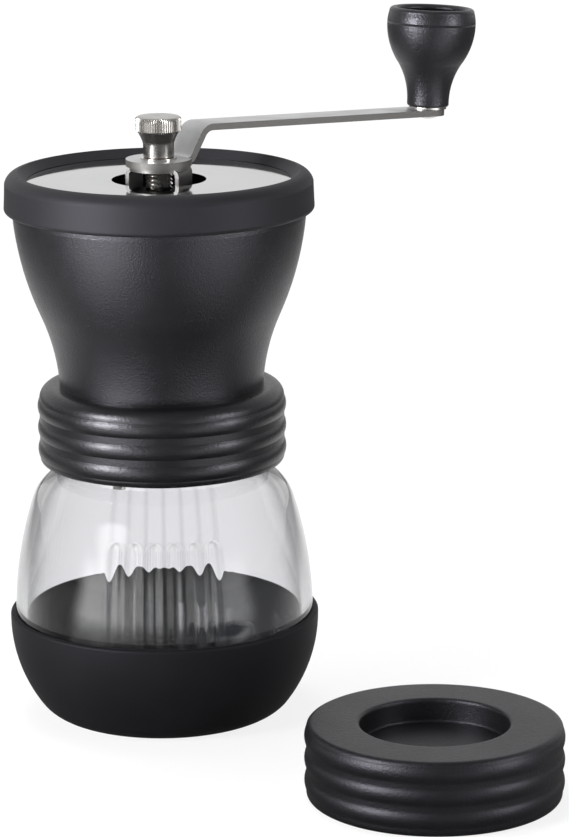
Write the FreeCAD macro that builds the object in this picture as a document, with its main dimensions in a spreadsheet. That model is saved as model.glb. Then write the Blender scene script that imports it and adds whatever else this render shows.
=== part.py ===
import FreeCAD, Part
import Sketcher
import math
import os
import re

# Hand crank coffee grinder with a glass jar, a funnel hopper, conical burrs and a storage lid.
# Millimetres, +Z up. The origin is on the table, on the grinder's own axis.

SIZES = {
    # Silicone base sleeve around the foot of the jar
    "base_radius": 46.5,
    "base_waist": 29.8,
    "base_bow": 43.0,
    "knee_angle": 36.2,
    "knee_round": 11.3,
    "foot_radius": 31.5,
    "sleeve_wall": 1.6,
    "sleeve_floor": 1.9,
    "sleeve_top": 31.5,
    "sleeve_lip": 0.9,
    # Glass jar
    "glass_wall": 3.4,
    "glass_floor": 4.6,
    "floor_radius": 30.5,
    "floor_round": 11.0,
    "inner_knee_angle": 28.0,
    "jar_bow": 116.6,
    "shoulder_radius": 39.3,
    "shoulder_height": 65.8,
    "shoulder_round": 15.9,
    "neck_root": 75.4,
    "neck_length": 21.2,
    "neck_radius": 30.6,
    "neck_wall": 3.2,
    "neck_lip": 1.0,
    "inside_drop": 1.5,
    "flute_depth": 0.9,
    "flute_round": 4.0,
    "flute_bow": 84.0,
    "flute_sweep": 50.0,
    "flute_height": 40.0,
    "flute_spread": 40.0,
    "flute_count": 6,
    # Screw thread of the jar, the collar and the storage lid
    "thread_pitch": 6.0,
    "thread_turns": 1.5,
    "thread_depth": 1.5,
    "thread_root": 2.4,
    "thread_tip": 1.2,
    "thread_sink": 0.3,
    "thread_lead": 6.1,
    "thread_play": 0.4,
    # Ribbed screw collar
    "collar_depth": 23.5,
    "collar_radius": 36.6,
    "collar_round": 4.0,
    "collar_edge": 1.8,
    "flange_thick": 2.8,
    "flange_bore": 27.2,
    "rib_pitch": 6.5,
    "rib_half": 2.2,
    "rib_round": 4.7,
    "rib_rise": 12.8,
    "seal_thick": 1.6,
    "seal_inner": 28.0,
    "seal_outer": 31.8,
    # Hopper
    "hopper_height": 58.65,
    "hopper_foot": 30.4,
    "hopper_mid_radius": 35.6,
    "hopper_mid": 21.3,
    "hopper_low_round": 62.0,
    "hopper_radius": 43.4,
    "hopper_shoulder": 50.9,
    "hopper_bow": 94.0,
    "hopper_wall": 2.4,
    "funnel_radius": 29.2,
    "funnel_height": 11.0,
    "throat_radius": 18.4,
    "throat_lip": 1.2,
    "throat_rise": 1.3,
    "skirt_radius": 26.6,
    "skirt_bore": 22.9,
    "boss_circle": 23.5,
    "boss_radius": 3.0,
    "boss_height": 8.9,
    "boss_sink": 8.0,
    # Bearing bridge, its screws and the upper bushing
    "arm_count": 3,
    "bridge_arm_width": 5.0,
    "bridge_arm_thick": 3.0,
    "bridge_hub_radius": 9.5,
    "bridge_hub_height": 8.0,
    "spring_pocket": 7.3,
    "spring_pocket_depth": 6.0,
    "column_radius": 6.2,
    "column_height": 47.9,
    "bushing_radius": 5.3,
    "bushing_depth": 10.0,
    "bushing_flange": 1.15,
    "screw_radius": 1.3,
    "screw_length": 8.0,
    "screw_head_radius": 2.5,
    "screw_head": 1.7,
    "screw_slot": 0.6,
    # Burrs, retainer and the pieces under the inner burr
    "burr_height": 16.8,
    "burr_mouth": 18.6,
    "burr_exit": 19.9,
    "burr_tooth_depth": 1.0,
    "burr_tooth_width": 1.4,
    "outer_teeth": 24,
    "inner_teeth": 16,
    "inner_burr_top": 8.5,
    "inner_burr_bottom": 18.8,
    "inner_burr_height": 15.1,
    "retainer_bore": 20.2,
    "retainer_inner": 23.4,
    "retainer_outer": 26.4,
    "retainer_depth": 7.5,
    "retainer_lip": 2.4,
    "retainer_hub_radius": 5.8,
    "retainer_hub_drop": 1.0,
    "retainer_hub": 4.3,
    "retainer_screw_circle": 24.8,
    "retainer_screw_radius": 1.0,
    "retainer_screw_length": 18.0,
    "retainer_screw_head_radius": 1.8,
    "retainer_screw_head": 1.2,
    "lower_bushing_radius": 4.3,
    "driver_radius": 11.0,
    "driver_thick": 2.5,
    "lower_washer_radius": 7.0,
    "lower_washer_thick": 0.6,
    "clip_radius": 5.2,
    "clip_thick": 0.7,
    "clip_groove": 2.5,
    # Spindle and spring
    "spindle_radius": 4.0,
    "spindle_flat": 3.1,
    "spindle_shoulder": 6.5,
    "spindle_shoulder_top": 0.5,
    "spindle_shoulder_thick": 1.4,
    "journal_radius": 3.0,
    "journal_end": 27.4,
    "tip_radius": 2.95,
    "tip_length": 8.6,
    "tip_chamfer": 0.6,
    "flat_length": 11.0,
    "spring_radius": 5.6,
    "spring_wire": 0.5,
    "spring_turns": 5,
    # Thrust washer and adjusting nut on the bridge column
    "thrust_radius": 6.2,
    "thrust_thick": 0.8,
    "adjuster_radius": 6.6,
    "adjuster_height": 6.0,
    "adjuster_notch": 1.2,
    "adjuster_teeth": 12,
    # Lid ring and polished lid plate
    "rim_radius": 45.9,
    "rim_drop": 6.15,
    "rim_round": 1.2,
    "rim_shoulder_radius": 45.6,
    "rim_shoulder": 2.25,
    "rim_crest_radius": 41.8,
    "rim_crest": 5.4,
    "rim_crown": 4.0,
    "rim_inner": 38.9,
    "rim_inner_top": 3.0,
    "rim_play": 0.4,
    "plate_radius": 40.4,
    "plate_hole": 14.0,
    "plate_height": 1.95,
    "plate_thick": 0.9,
    # Crank arm, lock bracket and knob
    "arm_angle": 37.0,
    "hub_lift": 7.05,
    "hub_radius": 9.75,
    "crank_radius": 105.0,
    "crank_width": 10.5,
    "crank_thick": 2.0,
    "rise_start": 8.2,
    "rise_height": 9.4,
    "rise_angle": 58.0,
    "rise_bend": 3.0,
    "top_bend": 4.0,
    "droop": 3.2,
    "bracket_half": 8.4,
    "bracket_width": 11.0,
    "bracket_sheet": 1.1,
    "bracket_drop": 13.6,
    "bracket_corner": 2.4,
    "bracket_turn": -59.0,
    "bracket_disc": 8.9,
    "rivet_radius": 2.4,
    "rivet_head_radius": 4.2,
    "rivet_head": 1.2,
    "knob_washer_radius": 5.8,
    "knob_washer_thick": 0.6,
    "knob_length": 30.6,
    "knob_foot": 6.5,
    "knob_foot_round": 0.7,
    "knob_neck": 1.5,
    "knob_mid_radius": 9.7,
    "knob_mid": 13.1,
    "knob_low_round": 22.4,
    "knob_radius": 13.75,
    "knob_belly": 25.6,
    "knob_bow": 21.5,
    "knob_top_radius": 13.2,
    "knob_top_round": 14.0,
    "knob_wall": 2.5,
    "knob_floor": 8.4,
    "knob_well": 5.4,
    # Knurled top nut and its washer
    "nut_washer_radius": 5.4,
    "nut_washer_thick": 0.4,
    "nut_stem_radius": 4.57,
    "nut_stem": 4.0,
    "nut_cone_radius": 5.9,
    "nut_cone": 8.3,
    "nut_head_radius": 6.75,
    "nut_height": 12.05,
    "nut_edge": 0.6,
    "nut_bore_depth": 9.3,
    "knurl_width": 0.5,
    "knurl_depth": 0.3,
    "knurl_count": 36,
    # Storage lid that stands beside the grinder
    "storage_x": 75.6,
    "storage_y": -85.6,
    "storage_height": 21.6,
    "storage_radius": 36.3,
    "storage_round": 1.4,
    "storage_edge": 1.6,
    "storage_top_wall": 2.6,
    "storage_rib_low": 4.8,
    "recess_radius": 21.3,
    "recess_depth": 7.0,
    "recess_wall": 2.0,
    "recess_edge": 0.8,
    # Fits
    "seat_gap": 0.05,
    "slip_fit": 0.05,
    "running_fit": 0.06,
    "loose_fit": 0.3,
}

doc = FreeCAD.newDocument("coffee_grinder")
sheet = doc.addObject("Spreadsheet::Sheet", "Sizes")
for row, (size_name, number) in enumerate(SIZES.items(), 1):
    sheet.set("A%d" % row, size_name)
    sheet.set("B%d" % row, str(number))
    sheet.setAlias("B%d" % row, size_name)
doc.recompute()

# Heights that groups of pieces stand on: jar lip, collar top, hopper rim, column top and crank hub
NECK_TOP = "(neck_root + neck_length)"
MILL = "(%s + seal_thick + flange_thick + 2 * seat_gap)" % NECK_TOP
RIM = MILL + " + hopper_height"
COLUMN = MILL + " + column_height"
HUB = MILL + " + hopper_height + hub_lift"
THREAD_START = "(neck_root + thread_lead)"

sub_parts = []


def bound(text):
    """The expression with each size's name led by the sheet's name."""
    return re.sub(r"[a-z_]+", lambda word: "Sizes." + word[0] if word[0] in SIZES else word[0], text)


def size(text):
    """The number that an expression of sizes gives now."""
    return float(sheet.evalExpression(bound(text)))


def origin_feature(body, role):
    """An origin plane or axis of the body."""
    return next(item for item in body.Origin.OriginFeatures if item.Role == role)


def new_body(label):
    """An empty body that becomes one sub-part."""
    body = doc.addObject("PartDesign::Body", label)
    body.Label = label
    sub_parts.append(body)
    return body


def stand(piece, height, x="0", y="0", turn="0"):
    """Stand a sub-part at a height, turned about its own upright axis."""
    rotation = FreeCAD.Rotation(FreeCAD.Vector(0, 0, 1), size(turn))
    piece.Placement = FreeCAD.Placement(FreeCAD.Vector(size(x), size(y), size(height)), rotation)
    piece.setExpression("Placement.Base.x", bound(x))
    piece.setExpression("Placement.Base.y", bound(y))
    piece.setExpression("Placement.Base.z", bound(height))


def arc_between(start, end, radius, side):
    """The short arc from start to end; side +1 turns left on the way, side -1 turns right."""
    chord = end - start
    middle = (start + end) * 0.5
    left = FreeCAD.Vector(-chord.y, chord.x, 0)
    left.normalize()
    reach = math.sqrt(radius ** 2 - (chord.Length / 2) ** 2)
    centre = middle + left * (reach * side)
    first, last = (start, end) if side > 0 else (end, start)
    from_angle = math.atan2(first.y - centre.y, first.x - centre.x)
    to_angle = math.atan2(last.y - centre.y, last.x - centre.x)
    return Part.ArcOfCircle(Part.Circle(centre, FreeCAD.Vector(0, 0, 1), radius), from_angle, to_angle)


def outline(body, name, corners, plane="XZ_Plane", closed=True):
    """A sketch through corners (across, up) or (across, up, arc radius, side of the arc that ends there)."""
    sketch = body.newObject("Sketcher::SketchObject", name)
    sketch.AttachmentSupport = (origin_feature(body, plane), [""])
    sketch.MapMode = "FlatFace"
    places = [FreeCAD.Vector(size(corner[0]), size(corner[1]), 0) for corner in corners]
    count = len(corners)
    edges = count if closed else count - 1
    ends = []
    rules = []
    expressions = []

    def rule(text, *parts):
        if text:
            expressions.append((len(rules), text))
        rules.append(Sketcher.Constraint(*parts))

    for index in range(edges):
        after = (index + 1) % count
        if len(corners[after]) == 2:
            sketch.addGeometry(Part.LineSegment(places[index], places[after]))
            ends.append((1, 2))
        else:
            radius, side = corners[after][2:]
            sketch.addGeometry(arc_between(places[index], places[after], size(radius), side))
            ends.append((1, 2) if side > 0 else (2, 1))
            rule(radius, "Radius", index, size(radius))
    for index in range(count):
        edge, end = (index, 0) if index < edges else (edges - 1, 1)
        point = (edge, ends[edge][end])
        if closed or 0 < index < edges:
            before = (index - 1) % edges
            rule("", "Coincident", before, ends[before][1], *point)
        for axis, text, value in zip(("X", "Y"), corners[index], places[index]):
            if abs(value) < 1e-9:
                rule("", "PointOnObject", *point, -2 if axis == "X" else -1)
            else:
                rule(text, "Distance" + axis, -1, 1, *point, value)
    sketch.addConstraint(rules)
    for index, text in expressions:
        sketch.setExpression("Constraints[%d]" % index, bound(text))
    return sketch


def turned(body, name, corners, cut=False):
    """A full turn of an outline (radius, height) about the upright axis, added or cut away."""
    sketch = outline(body, name + "_outline", corners)
    feature = body.newObject("PartDesign::Groove" if cut else "PartDesign::Revolution", name)
    feature.Profile = sketch
    feature.ReferenceAxis = (sketch, ["V_Axis"])
    feature.Angle = 360
    return feature


def pulled(body, name, corners, plane, length, cut=False):
    """An outline pulled evenly to both sides of its plane, added or cut away."""
    sketch = outline(body, name + "_outline", corners, plane)
    feature = body.newObject("PartDesign::Pocket" if cut else "PartDesign::Pad", name)
    feature.Profile = sketch
    feature.Midplane = True
    feature.setExpression("Length", bound(length))
    return feature


def solid(body, kind, name, sizes, at=("0", "0", "0"), axis=(0, 0, 1), angle="0"):
    """A plain solid added to or cut from a body, with its sizes and its place."""
    feature = body.newObject("PartDesign::" + kind, name)
    for key, text in sizes.items():
        feature.setExpression(key, bound(text))
    place = FreeCAD.Vector(*(size(text) for text in at))
    feature.Placement = FreeCAD.Placement(place, FreeCAD.Rotation(FreeCAD.Vector(*axis), size(angle)))
    for letter, text in zip("xyz", at):
        feature.setExpression("Placement.Base." + letter, bound(text))
    return feature


def around(body, feature, count, spread="360"):
    """Copies of a feature spread about the upright axis."""
    pattern = body.newObject("PartDesign::PolarPattern", feature.Name + "_ring")
    pattern.Originals = [feature]
    pattern.Axis = (origin_feature(body, "Z_Axis"), [""])
    pattern.setExpression("Angle", bound(spread))
    pattern.setExpression("Occurrences", bound(count))
    body.Tip = pattern
    return pattern


def thread(body, name, radius, side, start):
    """A coarse right-hand thread ridge on a wall; side +1 stands outward, side -1 inward."""
    sign = "+" if side > 0 else "-"
    sunk = "%s %s -thread_sink" % (radius, sign)
    crest = "%s %s thread_depth" % (radius, sign)
    corners = [
        (sunk, start + " - thread_root / 2"),
        (crest, start + " - thread_tip / 2"),
        (crest, start + " + thread_tip / 2"),
        (sunk, start + " + thread_root / 2"),
    ]
    sketch = outline(body, name + "_outline", corners)
    ridge = body.newObject("PartDesign::AdditiveHelix", name)
    ridge.Profile = sketch
    ridge.ReferenceAxis = (sketch, ["V_Axis"])
    ridge.Mode = 0
    ridge.Angle = 0
    ridge.setExpression("Pitch", bound("thread_pitch"))
    ridge.setExpression("Height", bound("thread_pitch * thread_turns"))
    return ridge


def ring(label, inner, outer, low, high, height="0"):
    """A plain flat ring such as a washer, a seal or a plate."""
    body = new_body(label)
    turned(body, label + "_ring", [(inner, low), (outer, low), (outer, high), (inner, high)])
    stand(body, height)
    return body


def primitive(kind, name, sizes, at, turn="0"):
    """A plain solid of its own with its sizes and its place."""
    item = doc.addObject(kind, name)
    for key, text in sizes.items():
        item.setExpression(key, bound(text))
    stand(item, at[2], at[0], at[1], turn)
    return item


def screws(label, circle, seat, shank, length, head_radius, head, upward):
    """Slotted screws on a circle, in line with the bridge arms; upward ones have their heads below."""
    pieces = []
    for number in range(int(size("arm_count"))):
        angle = "(%d * 360 / arm_count)" % number
        x = "%s * cos%s" % (circle, angle)
        y = "%s * sin%s" % (circle, angle)
        shank_low = seat if upward else "%s - %s" % (seat, length)
        head_low = "%s - %s" % (seat, head) if upward else seat
        slot_low = head_low if upward else "%s + %s - screw_slot" % (seat, head)
        tag = "%s_%d" % (label, number)
        rod_sizes = {"Radius": shank, "Height": length}
        rod = primitive("Part::Cylinder", tag + "_shank", rod_sizes, (x, y, shank_low))
        cap_sizes = {"Radius": head_radius, "Height": head}
        cap = primitive("Part::Cylinder", tag + "_head", cap_sizes, (x, y, head_low))
        groove_sizes = {"Length": "2 * " + head_radius, "Width": "screw_slot", "Height": "screw_slot"}
        corner_x = "%s - %s" % (x, head_radius)
        corner_y = "%s - screw_slot / 2" % y
        groove = primitive("Part::Box", tag + "_slot", groove_sizes, (corner_x, corner_y, slot_low))
        slotted = doc.addObject("Part::Cut", tag + "_cap")
        slotted.Base = cap
        slotted.Tool = groove
        screw = doc.addObject("Part::Fuse", tag)
        screw.Base = rod
        screw.Tool = slotted
        pieces.append(screw)
    group = doc.addObject("Part::Compound", label)
    group.Label = label
    group.Links = pieces
    sub_parts.append(group)


# Glass jar: thick pressed glass with a waisted neck, two grip patches of flutes and a coarse thread.
# The foot follows the silicone sleeve, one sleeve wall further in.

GLASS_BOW = "(base_bow - sleeve_wall)"
CAVITY_BOW = "(base_bow - sleeve_wall - glass_wall)"


def bow_corner(bow, angle, side):
    """The corner where a bowed foot wall ends, an angle below its widest ring."""
    across = "base_radius - base_bow + %s * cos(%s)" % (bow, angle)
    up = "base_waist - %s * sin(%s)" % (bow, angle)
    return (across, up, "knee_round", side)


jar = new_body("glass_jar")
cavity_knee = bow_corner(CAVITY_BOW, "inner_knee_angle", -1)
turned(jar, "jar_wall", [
    ("0", "sleeve_floor + seat_gap"),
    ("foot_radius", "sleeve_floor + seat_gap"),
    bow_corner(GLASS_BOW, "knee_angle", 1),
    ("base_radius - sleeve_wall", "base_waist", GLASS_BOW, 1),
    ("shoulder_radius", "shoulder_height", "jar_bow", 1),
    ("neck_radius", "neck_root", "shoulder_round", 1),
    ("neck_radius", NECK_TOP + " - neck_lip"),
    ("neck_radius - neck_lip", NECK_TOP, "neck_lip", 1),
    ("neck_radius - neck_wall + neck_lip", NECK_TOP),
    ("neck_radius - neck_wall", NECK_TOP + " - neck_lip", "neck_lip", 1),
    ("neck_radius - neck_wall", "neck_root - inside_drop"),
    ("shoulder_radius - glass_wall", "shoulder_height - inside_drop", "shoulder_round - glass_wall", -1),
    ("base_radius - sleeve_wall - glass_wall", "base_waist", "jar_bow - glass_wall", -1),
    (cavity_knee[0], cavity_knee[1], CAVITY_BOW, -1),
    ("floor_radius", "sleeve_floor + glass_floor", "floor_round", -1),
    ("0", "sleeve_floor + glass_floor"),
])
thread(jar, "neck_thread", "neck_radius", 1, THREAD_START)
flute_rise = "sqrt(jar_bow ^ 2 - (flute_height - base_waist) ^ 2)"
flute_base = "(base_radius - sleeve_wall - jar_bow + %s - flute_depth)" % flute_rise
flute_centre = "(%s + flute_round - flute_bow)" % flute_base
flute_step = "flute_spread / (flute_count - 1)"
upright = FreeCAD.Rotation(FreeCAD.Vector(1, 0, 0), 90)
half_back = FreeCAD.Rotation(FreeCAD.Vector(0, 0, 1), size("-flute_sweep / 2"))
for patch, facing in (("front", "-90"), ("back", "90")):
    for lane in range(2):
        first = "(%s - flute_spread / 2 + %d * %s)" % (facing, lane, flute_step)
        flute_sizes = {"Radius1": "flute_bow", "Radius2": "flute_round", "Angle3": "flute_sweep"}
        flute_place = (flute_centre + " * cos" + first, flute_centre + " * sin" + first, "flute_height")
        flute = solid(jar, "SubtractiveTorus", "%s_flute_%d" % (patch, lane), flute_sizes, flute_place)
        heading = FreeCAD.Rotation(FreeCAD.Vector(0, 0, 1), size(first))
        flute.Placement = FreeCAD.Placement(flute.Placement.Base, heading * upright * half_back)
        around(jar, flute, "flute_count / 2", "flute_spread - " + flute_step)

# Silicone base sleeve stretched over the foot of the jar, open at the top

SLEEVE_BOW = "(base_bow - sleeve_wall + slip_fit)"
sleeve = new_body("base_sleeve")
sleeve_knee = bow_corner(SLEEVE_BOW, "knee_angle", -1)
turned(sleeve, "sleeve_wall_turned", [
    ("0", "0"),
    ("foot_radius", "0"),
    bow_corner("base_bow", "knee_angle", 1),
    ("base_radius", "base_waist", "base_bow", 1),
    ("base_radius", "sleeve_top - sleeve_lip"),
    ("base_radius - sleeve_lip", "sleeve_top", "sleeve_lip", 1),
    ("base_radius - sleeve_wall + slip_fit", "sleeve_top"),
    ("base_radius - sleeve_wall + slip_fit", "base_waist"),
    (sleeve_knee[0], sleeve_knee[1], SLEEVE_BOW, -1),
    ("foot_radius", "sleeve_floor", "knee_round", -1),
    ("0", "sleeve_floor"),
])

# Seal ring between the jar's neck and the collar
ring("jar_seal", "seal_inner", "seal_outer", NECK_TOP + " + seat_gap", NECK_TOP + " + seat_gap + seal_thick")


def ribbed_side(radius, first_rib):
    """Three rounded grip ribs, as corners from the lowest to the highest."""
    corners = []
    for number in range(3):
        middle = "%s + %d * rib_pitch" % (first_rib, number)
        corners.append((radius, middle + " - rib_half"))
        corners.append((radius, middle + " + rib_half", "rib_round", 1))
    return corners


# Screw collar: ribbed ring with a flange that carries the hopper and an inner thread for the jar

THREAD_BORE = "(neck_radius + thread_depth + thread_play)"
collar = new_body("screw_collar")
turned(collar, "collar_wall", [
    (THREAD_BORE, "-collar_depth"),
    ("collar_radius - collar_edge", "-collar_depth"),
    ("collar_radius", "collar_edge - collar_depth", "collar_edge", 1),
    *ribbed_side("collar_radius", "-rib_rise - rib_pitch"),
    ("collar_radius", "-collar_round"),
    ("collar_radius - collar_round", "0", "collar_round", 1),
    ("flange_bore", "0"),
    ("flange_bore", "-flange_thick"),
    (THREAD_BORE, "-flange_thick"),
])
thread(collar, "collar_thread", THREAD_BORE, -1, "%s + thread_pitch / 2 - %s" % (THREAD_START, MILL))
stand(collar, MILL)

# Hopper: thin flared funnel on a foot, with a skirt that holds the outer burr inside the jar's neck

BURR_END = "(throat_lip + burr_height)"
hopper = new_body("hopper")
turned(hopper, "hopper_wall_turned", [
    ("skirt_bore", "-" + BURR_END),
    ("skirt_radius", "-" + BURR_END),
    ("skirt_radius", "0"),
    ("hopper_foot", "0"),
    ("hopper_mid_radius", "hopper_mid", "hopper_low_round", -1),
    ("hopper_radius", "hopper_shoulder", "hopper_bow", 1),
    ("hopper_radius", "hopper_height"),
    ("hopper_radius - hopper_wall", "hopper_height"),
    ("hopper_radius - hopper_wall", "hopper_shoulder"),
    ("hopper_mid_radius - hopper_wall", "hopper_mid + hopper_wall / 4", "hopper_bow - hopper_wall", -1),
    ("funnel_radius", "funnel_height", "hopper_low_round", 1),
    ("throat_radius", "throat_rise"),
    ("throat_radius", "-throat_lip"),
    ("skirt_bore", "-throat_lip"),
])
boss_sizes = {"Radius": "boss_radius", "Height": "boss_sink"}
boss_place = ("boss_circle", "0", "boss_height - boss_sink")
boss = solid(hopper, "AdditiveCylinder", "bridge_boss", boss_sizes, boss_place)
around(hopper, boss, "arm_count")
pilot_sizes = {"Radius": "screw_radius + slip_fit", "Height": "screw_length - bridge_arm_thick + loose_fit"}
pilot_low = "boss_height - screw_length + bridge_arm_thick - loose_fit"
pilot = solid(hopper, "SubtractiveCylinder", "bridge_pilot", pilot_sizes, ("boss_circle", "0", pilot_low))
around(hopper, pilot, "arm_count")
socket_sizes = {
    "Radius": "retainer_screw_radius + slip_fit",
    "Height": "retainer_screw_length - retainer_depth + loose_fit",
}
socket_place = ("retainer_screw_circle", "0", "-" + BURR_END)
socket = solid(hopper, "SubtractiveCylinder", "retainer_pilot", socket_sizes, socket_place)
around(hopper, socket, "arm_count")
stand(hopper, MILL)

# Bearing bridge: three arms on the hopper's bosses and a tall column that guides the spindle

SPINDLE_PASS = "(spindle_radius + loose_fit)"
bridge = new_body("bearing_bridge")
turned(bridge, "bridge_column", [
    ("spring_pocket", "boss_height"),
    ("bridge_hub_radius", "boss_height"),
    ("bridge_hub_radius", "boss_height + bridge_arm_thick"),
    ("column_radius + loose_fit", "boss_height + bridge_hub_height"),
    ("column_radius", "column_height"),
    ("bushing_radius + slip_fit", "column_height"),
    ("bushing_radius + slip_fit", "column_height - bushing_depth"),
    (SPINDLE_PASS, "column_height - bushing_depth"),
    (SPINDLE_PASS, "boss_height + spring_pocket_depth"),
    ("spring_pocket", "boss_height + spring_pocket_depth"),
])
arm_sizes = {
    "Length": "boss_circle - spring_pocket - loose_fit",
    "Width": "bridge_arm_width",
    "Height": "bridge_arm_thick",
}
arm_place = ("spring_pocket + loose_fit", "-bridge_arm_width / 2", "boss_height")
arm = solid(bridge, "AdditiveBox", "bridge_arm", arm_sizes, arm_place)
around(bridge, arm, "arm_count")
eye_sizes = {"Radius": "boss_radius", "Height": "bridge_arm_thick"}
eye = solid(bridge, "AdditiveCylinder", "bridge_eye", eye_sizes, ("boss_circle", "0", "boss_height"))
around(bridge, eye, "arm_count")
hole_sizes = {"Radius": "screw_radius + slip_fit", "Height": "bridge_arm_thick"}
hole = solid(bridge, "SubtractiveCylinder", "bridge_hole", hole_sizes, ("boss_circle", "0", "boss_height"))
around(bridge, hole, "arm_count")
stand(bridge, MILL)

bridge_seat = MILL + " + boss_height + bridge_arm_thick"
screws("bridge_screws", "boss_circle", bridge_seat, "screw_radius", "screw_length", "screw_head_radius",
       "screw_head", False)

# Flanged bushing pressed into the top of the column
bushing = new_body("upper_bushing")
SHAFT_BORE = "(spindle_radius + running_fit)"
turned(bushing, "bushing_turned", [
    (SHAFT_BORE, "seat_gap - bushing_depth"),
    ("bushing_radius", "seat_gap - bushing_depth"),
    ("bushing_radius", "seat_gap"),
    ("column_radius", "seat_gap"),
    ("column_radius", "bushing_flange"),
    (SHAFT_BORE, "bushing_flange"),
])
stand(bushing, COLUMN)

# Ceramic outer burr: a ring with straight teeth inside, up against the hopper's throat lip

outer_burr = new_body("outer_burr")
turned(outer_burr, "outer_burr_ring", [
    ("burr_exit", "-" + BURR_END),
    ("skirt_bore - slip_fit", "-" + BURR_END),
    ("skirt_bore - slip_fit", "-throat_lip - seat_gap"),
    ("burr_mouth", "-throat_lip - seat_gap"),
])
outer_tooth = pulled(outer_burr, "outer_tooth_gap", [
    ("burr_exit - burr_tooth_depth", "-" + BURR_END),
    ("burr_exit + burr_tooth_depth", "-" + BURR_END),
    ("burr_mouth + burr_tooth_depth", "-throat_lip - seat_gap"),
    ("burr_mouth - burr_tooth_depth", "-throat_lip - seat_gap"),
], "XZ_Plane", "burr_tooth_width", cut=True)
around(outer_burr, outer_tooth, "outer_teeth")
stand(outer_burr, MILL)

# Burr retainer: a ring under the outer burr whose three spokes carry the lower bushing

RETAINER_TOP = "(-%s - seat_gap)" % BURR_END
RETAINER_LOW = "(-%s - seat_gap - retainer_depth)" % BURR_END
HUB_LOW = "(-%s - seat_gap - retainer_depth - retainer_hub_drop)" % BURR_END
retainer = new_body("burr_retainer")
turned(retainer, "retainer_ring", [
    ("retainer_inner", RETAINER_LOW),
    ("retainer_outer", RETAINER_LOW),
    ("retainer_outer", RETAINER_TOP),
    ("retainer_bore", RETAINER_TOP),
    ("retainer_bore", RETAINER_TOP + " - retainer_lip"),
    ("retainer_inner", RETAINER_TOP + " - retainer_lip"),
])
spoke_sizes = {
    "Length": "retainer_inner - lower_bushing_radius",
    "Width": "bridge_arm_width",
    "Height": "bridge_arm_thick",
}
spoke_place = ("lower_bushing_radius + loose_fit", "-bridge_arm_width / 2", RETAINER_LOW)
spoke = solid(retainer, "AdditiveBox", "retainer_spoke", spoke_sizes, spoke_place)
around(retainer, spoke, "arm_count")
turned(retainer, "retainer_hub_turned", [
    ("lower_bushing_radius + slip_fit", HUB_LOW),
    ("retainer_hub_radius", HUB_LOW),
    ("retainer_hub_radius", HUB_LOW + " + retainer_hub"),
    ("lower_bushing_radius + slip_fit", HUB_LOW + " + retainer_hub"),
])
hole_sizes = {"Radius": "retainer_screw_radius + slip_fit", "Height": "retainer_depth"}
hole_place = ("retainer_screw_circle", "0", RETAINER_LOW)
retainer_hole = solid(retainer, "SubtractiveCylinder", "retainer_hole", hole_sizes, hole_place)
around(retainer, retainer_hole, "arm_count")
stand(retainer, MILL)

screws("retainer_screws", "retainer_screw_circle", MILL + " + " + RETAINER_LOW, "retainer_screw_radius",
       "retainer_screw_length", "retainer_screw_head_radius", "retainer_screw_head", True)

ring("lower_bushing", "journal_radius + running_fit", "lower_bushing_radius", HUB_LOW,
     HUB_LOW + " + retainer_hub", MILL)

# Spindle: steel rod with a shoulder over the inner burr, two flats for the crank and a thin threaded tip

SHOULDER_LOW = "(-spindle_shoulder_top - spindle_shoulder_thick)"
BURR_TOP = "(%s - seat_gap)" % SHOULDER_LOW
BURR_LOW = "(%s - inner_burr_height)" % BURR_TOP
DRIVER_LOW = "(%s - seat_gap - driver_thick)" % BURR_LOW
WASHER_LOW = "(%s - seat_gap - lower_washer_thick)" % DRIVER_LOW
CLIP_LOW = "(%s - seat_gap - clip_thick)" % WASHER_LOW
SPINDLE_STEP = "(hopper_height + hub_lift + crank_thick - loose_fit)"
spindle = new_body("spindle")
turned(spindle, "spindle_rod", [
    ("0", "-journal_end"),
    ("journal_radius", "-journal_end"),
    ("journal_radius", CLIP_LOW + " - seat_gap"),
    ("clip_groove", CLIP_LOW + " - seat_gap"),
    ("clip_groove", CLIP_LOW + " + clip_thick + seat_gap"),
    ("spindle_radius", CLIP_LOW + " + clip_thick + seat_gap"),
    ("spindle_radius", SHOULDER_LOW),
    ("spindle_shoulder", SHOULDER_LOW),
    ("spindle_shoulder", "-spindle_shoulder_top"),
    ("spindle_radius", "-spindle_shoulder_top"),
    ("spindle_radius", SPINDLE_STEP),
    ("tip_radius", SPINDLE_STEP),
    ("tip_radius", SPINDLE_STEP + " + tip_length - tip_chamfer"),
    ("tip_radius - tip_chamfer", SPINDLE_STEP + " + tip_length"),
    ("0", SPINDLE_STEP + " + tip_length"),
])
flat_sizes = {"Length": "2 * spindle_radius", "Width": "spindle_radius", "Height": "flat_length"}
flat_place = ("-spindle_radius", "spindle_flat", SPINDLE_STEP + " - flat_length")
flat = solid(spindle, "SubtractiveBox", "spindle_flat_cut", flat_sizes, flat_place)
around(spindle, flat, "2")
stand(spindle, MILL, turn="arm_angle")

# Ceramic inner burr: a toothed cone on the spindle, under its shoulder

inner_burr = new_body("inner_burr")
turned(inner_burr, "inner_burr_cone", [
    (SHAFT_BORE, BURR_LOW),
    ("inner_burr_bottom", BURR_LOW),
    ("inner_burr_top", BURR_TOP),
    (SHAFT_BORE, BURR_TOP),
])
inner_tooth = pulled(inner_burr, "inner_tooth_gap", [
    ("inner_burr_bottom - burr_tooth_depth", BURR_LOW),
    ("inner_burr_bottom + burr_tooth_depth", BURR_LOW),
    ("inner_burr_top + burr_tooth_depth", BURR_TOP),
    ("inner_burr_top - burr_tooth_depth", BURR_TOP),
], "XZ_Plane", "burr_tooth_width", cut=True)
around(inner_burr, inner_tooth, "inner_teeth")
stand(inner_burr, MILL)

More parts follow.
